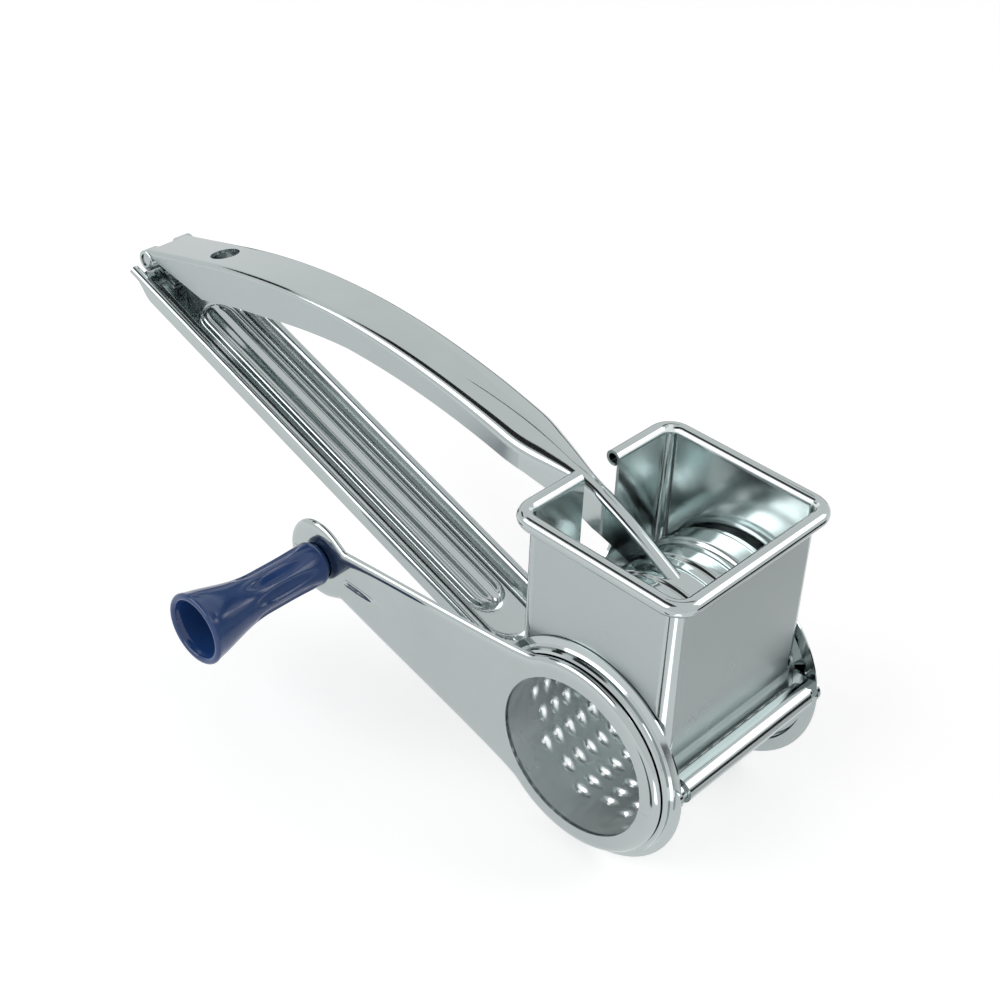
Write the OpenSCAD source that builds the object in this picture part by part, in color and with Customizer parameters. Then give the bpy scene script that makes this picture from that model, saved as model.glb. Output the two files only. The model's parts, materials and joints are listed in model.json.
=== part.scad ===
// Hand-cranked rotary grater of pressed steel, in millimetres.
// The hopper stands upright over the drum, the two arms run back to the hinge.
// +X points to the front, the crank is on the -Y side, +Z is up.
// The origin is the centre of the hanging hole in the upper arm.

/* [Sheet] */
// Thickness of the pressed sheet
sheet_t = 0.9; // [0.7:0.1:1.2]
// Seam left between sheets that lie on each other
seam = 0.05; // [0.02:0.01:0.1]

/* [Drum] */
// Outside radius of the drum shell
drum_r = 21.2; // [18:0.2:24]
// Wall of the drum shell
drum_wall = 0.6; // [0.4:0.1:1]
// Number of rows of teeth round the drum
tooth_rows = 18; // [12:1:20]
// Pitch of the teeth along the drum
tooth_pitch = 4.2; // [3.8:0.1:6]
// Height of a tooth above the shell
tooth_h = 0.8; // [0.4:0.1:1.2]
// Radius of a tooth at its foot
tooth_r = 1.5; // [1.2:0.1:1.8]
// Radius of a tooth at its crown
crown_r = 0.7; // [0.6:0.05:1]
// Depth of the dish pressed in the closed end
dish_h = 1.2; // [0.8:0.1:1.6]
// Running clearance between the drum and its bearings
run_gap = 0.08; // [0.02:0.01:0.1]

/* [Hopper] */
// Inside length of the hopper from front to back
hopper_l = 42.5; // [40:0.5:48]
// Inside width of the hopper from side to side
hopper_w = 48; // [42:0.5:56]
// Height of the hopper rim above the drum axis
hopper_top = 56; // [52:0.5:64]
// Distance of the hopper centre behind the drum axis
hopper_back = 0.5; // [0:0.1:1]
// Inside corner radius of the hopper
corner_r = 2; // [1.2:0.1:3]
// Radius of the rolled rim
rim_r = 2; // [1.6:0.1:2.2]
// Width of the slot in the back wall
slot_w = 12; // [10:0.5:16]
// Depth of the slot below the rim
slot_h = 30; // [28:0.5:34]

/* [Cheeks] */
// Height of the bearing seats above the hopper walls
seat_h = 3; // [2.6:0.1:4]
// Outside radius of the bearing seats
seat_r = 26.5; // [26:0.1:28]
// Width of the cheek's flat rim round the bearing seat
cheek_rim = 2.1; // [1.8:0.1:3]
// Length of the cheek's leg along the lower arm
leg_l = 18; // [14:0.5:22]
// Radius of the front bar
bar_r = 3.2; // [2.8:0.1:3.4]
// Distance of the front bar before the drum axis
bar_x = 25.8; // [25.5:0.1:28]
// Height of the front bar above the drum axis
bar_z = 3.2; // [2:0.1:5]

/* [Crank] */
// Distance from the drum axis to the knob axis
crank_l = 87.2; // [75:0.5:95]
// Rest angle of the crank above the backward direction
crank_deg = 4.7; // [0:0.1:20]
// Outside radius of the crank ring
ring_r = 27.2; // [26:0.1:30]
// Outside radius of the crank's small end
end_r = 11; // [10:0.1:13]
// Half width towards which the crank arm tapers
crank_w = 13; // [11:0.1:15]
// Height of the panel pressed in the crank
panel_h = 0.45; // [0.2:0.05:0.6]
// Depth of the turned edge of the crank
crank_edge = 1.6; // [1.4:0.1:2.5]
// Clearance between the crank and the hopper rim
crank_gap = 0.35; // [0.3:0.05:1]

/* [Knob] */
// Length of the knob
knob_l = 39; // [30:0.5:46]
// Radius of the flared outer end of the knob
knob_r = 9.5; // [8.5:0.1:11]
// Radius of the knob at its waist
knob_waist = 5.6; // [5.4:0.1:7]
// Radius of the knob pin
pin_r = 2.4; // [2:0.1:2.8]

/* [Upper arm] */
// Distance from the drum axis back to the hinge
hinge_x = 182.4; // [170:0.5:195]
// Distance from the drum axis back to the top of the bow
bow_x = 96.6; // [90:0.5:100]
// Height of the bow above the drum axis
bow_z = 62.9; // [60:0.1:66]
// Radius of the bow
bow_r = 238; // [220:1:260]
// Radius of the drop towards the presser
drop_r = 150; // [140:1:160]
// Steepness of the neck inside the hopper
neck_deg = 29; // [26:0.5:31]
// Half width of the upper arm
arm_w = 7.4; // [6.5:0.1:8]
// Half width of the neck
neck_w = 2.1; // [1.8:0.1:3]
// Radius of the hanging hole
hang_r = 4; // [3:0.1:5]
// Distance of the hanging hole before the hinge
hang_x = 25.6; // [20:0.1:30]

/* [Presser] */
// Gap between the presser pad and the teeth when it is closed
pad_gap = 0.6; // [0.4:0.1:1.5]
// Angle by which the upper arm stands open
open_deg = 4.2; // [2:0.1:5]
// Angle of the pad in front of its crown
pad_front = 50; // [35:1:51]
// Angle of the pad behind its crown
pad_back = 60; // [40:1:61]
// Gap between the sides of the pad and the hopper
pad_side = 1.6; // [0.8:0.1:3]
// Height of the raised bands of the pad
band_h = 1.1; // [0.8:0.1:1.4]
// Width of the flat edge beside a raised band
band_edge = 1.2; // [1:0.1:2]

/* [Lower arm] */
// Half width of the lower arm
base_w = 12.3; // [11:0.1:14]
// Depth of the tray pressed into the lower arm
tray_h = 3.8; // [3:0.1:4.5]
// Depth of the skirt of the lower arm
skirt_h = 4.4; // [4:0.1:6]
// Half width of the rib raised in the lower arm
rib_w = 5; // [4:0.1:6]
// Height of the rib raised in the lower arm
rib_h = 1.5; // [1:0.1:2]
// Height of the lower arm's front end below the drum axis
base_drop = 6.3; // [5:0.1:8]
// Distance from the drum axis back to the front end of the lower arm
base_x = 33.5; // [32:0.1:36]
// Radius of the hinge pin
hinge_r = 1.95; // [1.5:0.05:2.2]

/* [Hidden] */
$fn = 64;

// Length that cuts through the whole assembly
through = 160;

steel = [0.74, 0.76, 0.76];
navy = [0.1, 0.15, 0.35];

// Stack from the hopper wall out to the face of the crank
wall_y = hopper_w / 2 + sheet_t;
plate_y = wall_y + seam;
seat_y = plate_y + seat_h;
rim_y = hopper_w / 2 + 2 * rim_r;
edge_y = max(rim_y, seat_y) + crank_gap;
face_y = edge_y + crank_edge;

// Radii round the drum axis
drum_in = drum_r - drum_wall;
tip_r = drum_r + tooth_h;
bore_r = drum_r + run_gap;
pad_in = tip_r + pad_gap;
pad_out = pad_in + sheet_t;
drum_far = seat_y + 0.3;

cheek_r = seat_r + cheek_rim;

// Side view of the upper arm: straight tail, bow, drop and straight neck
drop_run = 50;
tail_x = -(hinge_x - hang_x);
tail_sin = (tail_x + bow_x) / bow_r;
tail_z = bow_z - bow_r * (1 - sqrt(1 - tail_sin * tail_sin));
tail_deg = -asin(tail_sin);
drop_x = drop_run - bow_x;
drop_sin = drop_run / bow_r;
drop_z = bow_z - bow_r * (1 - sqrt(1 - drop_sin * drop_sin));
neck_x = drop_x + drop_r * (sin(neck_deg) - drop_sin);
neck_z = drop_z - drop_r * (sqrt(1 - drop_sin * drop_sin) - cos(neck_deg));

// Hinge axis, one knuckle radius under the web of the upper arm
knuckle_in = hinge_r + run_gap;
knuckle_r = knuckle_in + sheet_t;
knuckle_y = arm_w + 0.4;
tongue_y = arm_w * 0.42;
tongue_gap = 0.3;
hinge_z = tail_z - tan(tail_deg) * hang_x - knuckle_r / cos(tail_deg);

// The hanging hole is cut square to the web, half a sheet under its top
hole_x = tail_x + sheet_t / 2 * sin(tail_deg);
hole_z = tail_z - sheet_t / 2 * cos(tail_deg);

// Place of the pad axis, which lies on the drum axis when the arm is closed
pad_x = -hinge_x + hinge_x * cos(open_deg) + hinge_z * sin(open_deg);
pad_z = hinge_z - hinge_z * cos(open_deg) + hinge_x * sin(open_deg);

// Line of the folds of the lower arm
base_slope = (hinge_z - 1.2 + base_drop) / (hinge_x - base_x);

function smooth(a, b, x) =
    let (t = max(0, min(1, (x - a) / (b - a)))) t * t * (3 - 2 * t);

function mix(a, b, t) = a + (b - a) * t;

function arc(x, y, r, a, b, n) =
    [for (i = [0:n]) let (t = a + (b - a) * i / n) [x + r * cos(t), y + r * sin(t)]];

function flip(path) = [for (i = [len(path) - 1:-1:0]) path[i]];

function mirrored(path) = [for (i = [len(path) - 1:-1:0]) [-path[i][0], path[i][1]]];

function unit(v) = v / max(norm(v), 0.000001);

// Normal on the right-hand side of a path at one of its points
function right_of(path, i) =
    let (n = len(path),
         a = unit(path[min(i, n - 2) + 1] - path[min(i, n - 2)]),
         b = unit(path[max(i, 1)] - path[max(i, 1) - 1]),
         m = unit(a + b))
    [m[1], -m[0]] / max(0.6, m * a);

// Closed outline of a sheet of thickness t that hangs under an open path
function sheet(path, t) =
    concat(path, flip([for (i = [0:len(path) - 1]) path[i] + t * right_of(path, i)]));

// Closed outline moved inwards by d
function inset(path, d) =
    let (n = len(path))
    [for (i = [0:n - 1])
        let (e = unit(path[(i + 1) % n] - path[(i + n - 1) % n]))
        path[i] + d * [-e[1], e[0]]];

function bezier(a, b, c, d, n) =
    [for (i = [1:n - 1]) let (t = i / n, s = 1 - t)
        s * s * s * a + 3 * s * s * t * b + 3 * s * t * t * c + t * t * t * d];

// Solid through rings with the same even number of points, where the points of
// the first half face those of the second, so that strips can close both ends
module loft(rings) {
    n = len(rings[0]);
    m = len(rings);
    sides = [for (i = [0:m - 2], j = [0:n - 1])
        each [[i * n + j, i * n + (j + 1) % n, (i + 1) * n + (j + 1) % n],
              [i * n + j, (i + 1) * n + (j + 1) % n, (i + 1) * n + j]]];
    first = [for (k = [0:n / 2 - 2]) [n - 1 - k, n - 2 - k, k + 1, k]];
    last = [for (q = first) [for (j = [3:-1:0]) (m - 1) * n + q[j]]];
    polyhedron([for (r = rings) each r], concat(first, sides, last), convexity = 8);
}

// Places children that are drawn round the drum axis
module on_drum() {
    translate([-hole_x, 0, -hole_z]) children();
}

// Cylinder along Y between two places, on a given axis
module bar(r, y0, y1, x = 0, z = 0) {
    translate([x, y1, z]) rotate([90, 0, 0]) cylinder(r = r, h = y1 - y0, $fn = 96);
}

// Ring along Y turned from a profile of radius and height
module turned(y, side) {
    translate([0, y, 0]) rotate([side * -90, 0, 0]) rotate_extrude($fn = 96) children();
}

// Upper arm

function arm_top(x) =
    x < tail_x ? tail_z + (x - tail_x) * tan(tail_deg)
    : x < drop_x ? bow_z - bow_r + sqrt(bow_r * bow_r - pow(x + bow_x, 2))
    : x < neck_x ? drop_z - drop_r * sqrt(1 - drop_sin * drop_sin)
        + sqrt(pow(drop_r, 2) - pow(x - drop_x + drop_r * drop_sin, 2))
    : neck_z - (x - neck_x) * tan(neck_deg);

flange_h = [[-hinge_x, 1], [-hinge_x + 24, 11.1], [-hinge_x + 50, 10.8],
            [-hinge_x + 82, 8.4], [-40, 8], [-20, 9.3], [20, 9.3]];

function arm_half(x) = mix(arm_w, neck_w, smooth(drop_x, drop_x + 26, x));

shoulder_deg = 20;
shoulder_r = sheet_t + 0.25;

function arm_path(x) =
    let (w = arm_half(x),
         a = mix(w - 1.2, neck_w * 0.4, smooth(-bow_x - 20, drop_x + 8, x)),
         b = 90 + shoulder_deg,
         px = -w + shoulder_r + shoulder_r * cos(b),
         pz = (a + px) * tan(shoulder_deg),
         cz = pz - shoulder_r * sin(b),
         h = max(lookup(x, flange_h), 0.4 - cz),
         half = concat([[-w, -h]],
                       [for (k = [0:3]) let (t = mix(180, b, k / 3))
                           [-w + shoulder_r + shoulder_r * cos(t), cz + shoulder_r * sin(t)]],
                       [[-a, 0]]))
    concat(half, [[0, 0.05]], mirrored(half));

function arm_ring(x) =
    let (z = arm_top(x), slope = (arm_top(x + 0.5) - arm_top(x - 0.5)), k = sqrt(1 + slope * slope))
    [for (p = sheet(arm_path(x), sheet_t)) [x, p[0], z + p[1] * k]];

arm_end = 16.5;
arm_steps = concat([for (x = [-hinge_x:7:drop_x]) x], [for (x = [drop_x + 3:3.5:arm_end]) x]);

module arm_hole() {
    translate([tail_x, 0, tail_z]) rotate([0, -tail_deg, 0])
        cylinder(r = hang_r, h = 4 * sheet_t, center = true, $fn = 96);
}

module upper_arm() {
    color(steel) on_drum() difference() {
        union() {
            loft([for (x = arm_steps) arm_ring(x)]);
            bar(knuckle_r, -knuckle_y, knuckle_y, -hinge_x, hinge_z);
        }
        bar(knuckle_in, -2 * arm_w, 2 * arm_w, -hinge_x, hinge_z);
        bar(knuckle_r + tongue_gap, -tongue_y - tongue_gap, tongue_y + tongue_gap, -hinge_x, hinge_z);
        arm_hole();
        bar(pad_out + seam, -arm_w, arm_w, pad_x, pad_z);
    }
}

// Presser pad, an arched plate with two raised bands

pad_half = hopper_w / 2 - pad_side;
band_in = pad_half * 0.6;

// Upper line of the pad section from the middle out to its edge, at radius r
function pad_line(r, shift) =
    [[r, band_in + shift], [r + band_h, band_in + band_edge + shift],
     [r + band_h, pad_half - 2 * band_edge - shift], [r, pad_half - band_edge - shift],
     [r, pad_half]];

module pad_profile() {
    top = pad_line(pad_out, 0);
    low = pad_line(pad_in, 0.6 * sheet_t);
    polygon(concat([for (p = flip(top)) [p[0], -p[1]]], top, flip(low), [for (p = low) [p[0], -p[1]]]));
}

module presser_pad() {
    color(steel) on_drum() translate([pad_x, 0, pad_z]) rotate([0, -open_deg, 0])
        rotate([-90, 0, 0]) rotate([0, 0, -90 - pad_back])
            rotate_extrude(angle = pad_back + pad_front, $fn = 96) pad_profile();
}

// Lower arm

function base_top(x) = -base_drop - base_slope * (x + base_x);

base_deg = atan(base_slope);
base_l = (hinge_x - base_x) / cos(base_deg);
fold_arm_r = sheet_t + 0.35;
floor_w = base_w - 4;
lip_l = 15;
lip_drop = 1;
valley_l = base_l - lip_l;
rib_from = 24;
rib_to = valley_l - 4;
rib_slope = 0.6;
corner_plan = 5;

// Top of the tray section: skirt, fold, floor at depth v and a rib of height h
function base_path(v, h) =
    let (w = base_w,
         half = concat([[-w, -skirt_h]],
                       [for (t = [180, 135, 90, 50, 20])
                           [-w + fold_arm_r + fold_arm_r * cos(t), -fold_arm_r + fold_arm_r * sin(t)]],
                       [[-floor_w, -v]],
                       h > 0 ? [[-rib_w - rib_slope, -v], [-rib_w + rib_slope, -v + h]] : []))
    concat(half, mirrored(half));

module along(from, to) {
    translate([from, 0, 0]) rotate([90, 0, 90]) linear_extrude(to - from) children();
}

module cup(x, r, z, h) {
    translate([x, 0, z]) difference() {
        cylinder(r = r + sheet_t, h = h, $fn = 64);
        translate([0, 0, sheet_t]) cylinder(r = r, h = h, $fn = 64);
    }
}

// Round end of the raised rib, open underneath
module rib_end(x) {
    translate([x, 0, -tray_h - sheet_t]) difference() {
        cylinder(r = rib_w, h = rib_h + sheet_t, $fn = 64);
        translate([0, 0, -1]) cylinder(r = rib_w - sheet_t, h = rib_h + 1, $fn = 64);
    }
}

module base_tray() {
    along(-1, rib_from) polygon(sheet(base_path(tray_h, 0), sheet_t));
    along(rib_from, rib_to) polygon(sheet(base_path(tray_h, rib_h), sheet_t));
    along(rib_to, valley_l) polygon(sheet(base_path(tray_h, 0), sheet_t));
    difference() {
        along(valley_l, base_l) polygon(sheet(base_path(lip_drop, 0), sheet_t));
        translate([valley_l, 0, -tray_h]) cylinder(r = floor_w, h = 2 * tray_h, $fn = 64);
    }
    difference() {
        cup(valley_l, floor_w, -tray_h - sheet_t, tray_h - lip_drop + sheet_t);
        translate([valley_l - 2 * floor_w, -2 * floor_w, -3 * tray_h])
            cube([2 * floor_w, 4 * floor_w, 4 * tray_h]);
    }
    rib_end(rib_from);
    rib_end(rib_to);
}

// Plan of the lower arm with rounded front corners
module base_plan() {
    r = corner_plan;
    translate([-2, -base_w - 1]) square([base_l + 2 - r, 2 * base_w + 2]);
    translate([-2, -base_w + r]) square([base_l + 2, 2 * base_w - 2 * r]);
    for (s = [-1, 1]) translate([base_l - r, s * (base_w - r)]) circle(r = r, $fn = 48);
}

// Tongue from the floor of the tray round the hinge pin
module hinge_tongue() {
    low = base_top(-hinge_x) - tray_h / cos(base_deg);
    lap = 5 + knuckle_r;
    lap_low = low - lap * base_slope;
    t = sheet_t / 2;
    translate([-hinge_x, tongue_y, 0]) rotate([90, 0, 0]) linear_extrude(2 * tongue_y)
        polygon([[-knuckle_r, hinge_z], [-knuckle_r, low], [t - knuckle_r, low - t], [lap, lap_low - t],
                 [lap, lap_low + t / 2], [1.6 * sheet_t - knuckle_r, low + 0.8 * sheet_t],
                 [1.6 * sheet_t - knuckle_r, hinge_z]]);
    bar(knuckle_r, -tongue_y, tongue_y, -hinge_x, hinge_z);
}

module lower_arm() {
    color(steel) on_drum() difference() {
        union() {
            translate([-hinge_x, 0, base_top(-hinge_x)]) rotate([0, base_deg, 0]) intersection() {
                base_tray();
                linear_extrude(through, center = true) base_plan();
            }
            hinge_tongue();
        }
        bar(knuckle_in, -base_w, base_w, -hinge_x, hinge_z);
    }
}

module hinge_pin() {
    color(steel) on_drum() bar(hinge_r, -arm_w, arm_w, -hinge_x, hinge_z);
}

// Cheeks, which carry the drum and join the lower arm to the front bar

leg_in = base_w + seam;
leg_end = -base_x - leg_l;
leg_bend = -base_x - leg_l / 3;
leg_x = 1 - seat_r;
leg_lap = 7;
leg_top = 1.6;
leg_rise = 4;
leg_fall = 16.5;
lug_w = 3.7;
stub_l = 6;

// Point at x, d below the folds of the lower arm
function under_fold(x, d) = [x, base_top(x) - d];

// Plan view of one cheek: flat at the hopper, then in to the skirt of the arm
module cheek_plan() {
    polygon([[through / 2, plate_y], [leg_x, plate_y], [leg_bend, leg_in], [leg_end, leg_in],
             [leg_end, leg_in + sheet_t], [leg_bend - sheet_t / 2, leg_in + sheet_t],
             [leg_x - sheet_t / 2, plate_y + sheet_t], [through / 2, plate_y + sheet_t]]);
}

// Side view of the leg, which runs on along the skirt
module cheek_side() {
    polygon([under_fold(leg_end, skirt_h), under_fold(leg_end, leg_top), under_fold(leg_bend + 2, leg_top),
             [leg_x, leg_rise], [leg_x + leg_lap, leg_rise], [leg_x + leg_lap, -leg_fall - 2.5],
             [leg_x, -leg_fall], under_fold(leg_bend + 2, skirt_h + 2.6)]);
}

module cheek_lug() {
    far = norm([bar_x, bar_z]);
    rotate(atan2(bar_z, bar_x)) translate([bore_r, -lug_w]) square([far - bore_r, 2 * lug_w]);
    translate([bar_x, bar_z]) circle(r = bar_r, $fn = 48);
}

module seat_profile() {
    polygon([[cheek_r, 0], [cheek_r, 0.4], [seat_r + 0.5, sheet_t], [seat_r, sheet_t + 0.5],
             [seat_r, seat_h - 0.8], [seat_r - 0.25, seat_h - 0.25], [seat_r - 0.8, seat_h],
             [bore_r, seat_h], [bore_r, 0.6], [bore_r + sheet_t, 0.6],
             [bore_r + sheet_t, seat_h - sheet_t], [seat_r - sheet_t - 0.5, seat_h - sheet_t],
             [seat_r - sheet_t, seat_h - sheet_t - 0.5], [seat_r - sheet_t, 0]]);
}

module cheek(side) {
    color(steel) on_drum() mirror([0, side < 0 ? 1 : 0, 0]) {
        turned(plate_y, 1) seat_profile();
        difference() {
            intersection() {
                linear_extrude(through, center = true) cheek_plan();
                translate([0, through / 2, 0]) rotate([90, 0, 0]) linear_extrude(through / 2) cheek_side();
            }
            bar(seat_r - sheet_t / 2, 0, through / 2);
        }
        difference() {
            translate([0, plate_y + sheet_t, 0]) rotate([90, 0, 0]) linear_extrude(sheet_t) cheek_lug();
            bar(bore_r + sheet_t, 0, through / 2);
        }
        bar(bar_r - sheet_t - run_gap, hopper_w / 2 - stub_l, plate_y + sheet_t / 2, bar_x, bar_z);
    }
}

module near_cheek() {
    cheek(-1);
}

module far_cheek() {
    cheek(1);
}

// Sheet rolled to a tube, with the seam where its edges meet
module front_bar() {
    half = plate_y - 2.5;
    seam_deg = 35;
    color(steel) on_drum() difference() {
        bar(bar_r, -half, half, bar_x, bar_z);
        bar(bar_r - sheet_t, -plate_y, plate_y, bar_x, bar_z);
        translate([bar_x, 0, bar_z]) rotate([0, seam_deg, 0]) translate([-bar_r, 0, 0])
            cube([bar_r, 2 * plate_y, sheet_t / 2], center = true);
    }
}

// Hopper

module rounded(l, w, r) {
    square([l - 2 * r, w], center = true);
    square([l, w - 2 * r], center = true);
    for (x = [-1, 1], y = [-1, 1])
        translate([x * (l / 2 - r), y * (w / 2 - r)]) circle(r = r, $fn = 48);
}

// Rolled rim as tubes along the sides and quarter rings at the corners
module rim(r) {
    l = hopper_l / 2;
    w = hopper_w / 2;
    c = corner_r;
    for (s = [-1, 1]) {
        translate([s * (l + rim_r), 0, 0]) rotate([90, 0, 0])
            cylinder(r = r, h = 2 * (w - c), center = true, $fn = 48);
        translate([0, s * (w + rim_r), 0]) rotate([0, 90, 0])
            cylinder(r = r, h = 2 * (l - c), center = true, $fn = 48);
    }
    for (i = [0:3]) {
        sx = i == 0 || i == 3 ? 1 : -1;
        sy = i < 2 ? 1 : -1;
        translate([sx * (l - c), sy * (w - c), 0]) rotate([0, 0, 90 * i])
            rotate_extrude(angle = 90, $fn = 64) translate([c + rim_r, 0]) circle(r = r, $fn = 48);
    }
}

wall_low = 5.4;
slot_cut = 14;
tooth_gap = 0.5;

module hopper() {
    color(steel) on_drum() difference() {
        translate([-hopper_back, 0, 0]) {
            difference() {
                union() {
                    translate([0, 0, wall_low]) linear_extrude(hopper_top - rim_r - wall_low)
                        rounded(hopper_l + 2 * sheet_t, hopper_w + 2 * sheet_t, corner_r + sheet_t);
                    translate([0, 0, hopper_top - rim_r]) rim(rim_r);
                }
                translate([0, 0, wall_low - 1]) linear_extrude(hopper_top)
                    rounded(hopper_l, hopper_w, corner_r);
                translate([0, 0, hopper_top - rim_r]) rim(rim_r - sheet_t * 0.8);
                translate([-hopper_l / 2, 0, hopper_top - (slot_h - slot_w / 2) / 2 + 1])
                    cube([slot_cut, slot_w, slot_h - slot_w / 2 + 2], center = true);
                translate([-hopper_l / 2, 0, hopper_top - slot_h + slot_w / 2]) rotate([0, 90, 0])
                    cylinder(r = slot_w / 2, h = slot_cut, center = true, $fn = 48);
            }
        }
        bar(tip_r + tooth_gap, -through / 2, through / 2);
    }
}

// Drum

tooth_wall = 0.4;
crown_wall = 0.35;
tooth_root = drum_wall / 2;

module tooth_ring() {
    n = floor((hopper_w - 4) / tooth_pitch);
    for (i = [0:tooth_rows - 1]) rotate([0, i * 360 / tooth_rows, 0]) {
        shift = i % 2 == 0 ? 0.25 : -0.25;
        for (j = [0:n - 1])
            translate([0, (j - (n - 1) / 2 + shift) * tooth_pitch, 0]) children();
    }
}

module drum_shell() {
    color(steel) on_drum() difference() {
        union() {
            bar(drum_r, -face_y + sheet_t + seam, drum_far);
            tooth_ring() translate([0, 0, drum_r - tooth_root])
                cylinder(r1 = tooth_r, r2 = crown_r, h = tooth_h + tooth_root, $fn = 24);
        }
        bar(drum_in, -face_y, drum_far + 1);
        tooth_ring() translate([0, 0, drum_in - tooth_root])
            cylinder(r1 = tooth_r - tooth_wall, r2 = crown_r - crown_wall,
                     h = drum_wall + tooth_h + tooth_root + 0.1, $fn = 24);
    }
}

// Dished plate pressed into the far mouth of the drum
module drum_end() {
    e = drum_in - seam;
    h = dish_h;
    hub = drum_in * 0.42;
    step = drum_in * 0.5;
    color(steel) on_drum() turned(drum_far, 1)
        polygon([[0, -h], [hub, -h], [step, -2 * h], [e - 2 * h, -2 * h], [e - h, -1.4 * h],
                 [e - 0.4 * h, 0], [e, 0], [e, -1.2 * h], [e - 0.5 * h, -2.2 * h],
                 [e - 1.8 * h, -2 * h - sheet_t], [step - 0.3 * h, -2 * h - sheet_t],
                 [hub - 0.3 * h, -h - sheet_t], [0, -h - sheet_t]]);
}

// Crank, a teardrop plate with a rounded turned edge and a round mouth

ring_join = 55;
end_join = 62;
ring_steps = 17;
end_steps = 8;
ring_pull = 5;
end_pull = 4;
waist_back = 35.2;

// Lower half of the outline, from the back of the ring to the tip. Its points
// keep half a step away from the axis.
function crank_half() =
    let (ring_step = (180 - ring_join) / (ring_steps + 0.5),
         end_step = (180 - end_join) / (end_steps + 0.5),
         a = ring_r * [cos(ring_join), -sin(ring_join)],
         d = [crank_l, 0] - end_r * [cos(end_join), sin(end_join)],
         b = a + ring_pull * [sin(ring_join), cos(ring_join)],
         c = [crank_l - waist_back, -crank_w],
         e = d - end_pull * [sin(end_join), -cos(end_join)])
    concat(arc(0, 0, ring_r, 180 + ring_step / 2, 360 - ring_join, ring_steps),
           bezier(a, b, c, e, 12),
           arc(crank_l, 0, end_r, end_join - 180, -end_step / 2, end_steps));

function crank_outline() =
    let (half = crank_half()) concat(half, [for (p = flip(half)) [p[0], -p[1]]]);

fold_r = min(crank_edge, 1.5);
fold_in = 1.6 * fold_r;

function crank_ring(d, y) = [for (p = inset(crank_outline(), d)) [p[0], y, p[1]]];

module crank_shell() {
    outer = [for (k = [0:4]) let (t = 90 * k / 4) [fold_in * (1 - sin(t)), -face_y + fold_r * (1 - cos(t))]];
    inner = [for (k = [4:-1:0]) let (t = 90 * k / 4)
        [sheet_t + (fold_in - 0.8 * sheet_t) * (1 - sin(t)),
         -face_y + sheet_t + (fold_r - sheet_t) * (1 - cos(t))]];
    loft([for (p = concat(outer, [[0, -edge_y], [sheet_t * 0.7, -edge_y]], inner)) crank_ring(p[0], p[1])]);
}

// Outline of the raised panel between the mouth and the small end
module panel_plan() {
    round_r = 3;
    offset(r = round_r, $fn = 48) offset(delta = -round_r)
        polygon([[ring_r - 1.2, crank_w - 0.2], [ring_r + 2.3, -crank_w - 1.4],
                 [crank_l - 10.7, -7], [crank_l - 11.2, 0.8]]);
}

module panel(from, to) {
    translate([0, to, 0]) rotate([90, 0, 0]) linear_extrude(to - from) panel_plan();
}

// Narrow groove that runs out from the small end into the panel
module crank_groove() {
    depth_r = 1.2;
    translate([crank_l - 10.8, -face_y - panel_h - depth_r / 2, -0.2]) rotate([0, -84, 0])
        cylinder(r1 = depth_r, r2 = depth_r * 0.4, h = 10, $fn = 24);
    translate([crank_l - 10.8, -face_y - panel_h - depth_r / 2, -0.2]) sphere(r = depth_r, $fn = 24);
}

module crank() {
    color(steel) on_drum() rotate([0, crank_deg, 0]) mirror([1, 0, 0]) difference() {
        union() {
            crank_shell();
            panel(-face_y - panel_h, -face_y + sheet_t / 2);
        }
        panel(-face_y + sheet_t - panel_h, -face_y + 1.5 * sheet_t);
        crank_groove();
        bar(drum_in, -face_y - 1, 0);
        bar(pin_r + seam, -face_y - 1, 0, crank_l, 0);
    }
}

// Knob and the pin on which it turns

knob_gap = 0.3;
knob_wall = 1.6;
mouth_wall = 1.9;
floor_t = 5;
head_h = 1.2;

function knob_out(t) =
    mix(knob_waist, knob_r, pow(smooth(0.45, 1.05, t), 1.2)) * (1 + 0.06 * (1 - smooth(0, 0.3, t)))
        - 0.9 * (1 - smooth(0, 0.05, t));

function knob_ring(t) =
    let (r = knob_out(t), flat = 0.75 * smooth(0.08, 0.2, t) * (1 - smooth(0.7, 0.92, t)))
    [for (i = [0:39])
        let (a = 9 * i, c = cos((a % 45) - 22.5), q = mix(1, 0.955 / c, flat))
        [r * q * cos(a), -face_y - knob_gap - knob_l * t, r * q * sin(a)]];

knob_steps = [0, 0.02, 0.05, 0.1, 0.2, 0.35, 0.5, 0.6, 0.7, 0.78, 0.86, 0.93, 0.98, 1];

module on_knob() {
    on_drum() rotate([0, crank_deg, 0]) translate([-crank_l, 0, 0]) children();
}

module knob() {
    tip = -face_y - knob_gap - knob_l;
    color(navy) on_knob() difference() {
        loft([for (t = knob_steps) knob_ring(t)]);
        bar(pin_r + run_gap, -face_y - knob_gap - floor_t - 1, -face_y);
        translate([0, tip - 0.01, 0]) rotate([-90, 0, 0])
            cylinder(r1 = knob_r - mouth_wall, r2 = knob_waist - knob_wall, h = knob_l * 0.45, $fn = 64);
        bar(knob_waist - knob_wall, tip, -face_y - knob_gap - floor_t);
    }
}

module knob_pin() {
    head_y = -face_y - knob_gap - floor_t - knob_gap;
    back_y = -face_y + sheet_t;
    color(steel) on_knob() {
        bar(pin_r, head_y, back_y + 0.4);
        bar(pin_r + head_h, head_y - head_h, head_y);
        bar(pin_r + 1.4 * head_h, back_y + seam, back_y + 0.7);
    }
}

lower_arm();
near_cheek();
far_cheek();
front_bar();
hopper();
hinge_pin();
upper_arm();
presser_pad();
drum_shell();
drum_end();
crank();
knob_pin();
knob();
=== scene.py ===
import json
import math

import bmesh
import bpy
import numpy as np
from mathutils import Matrix, Vector


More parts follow.
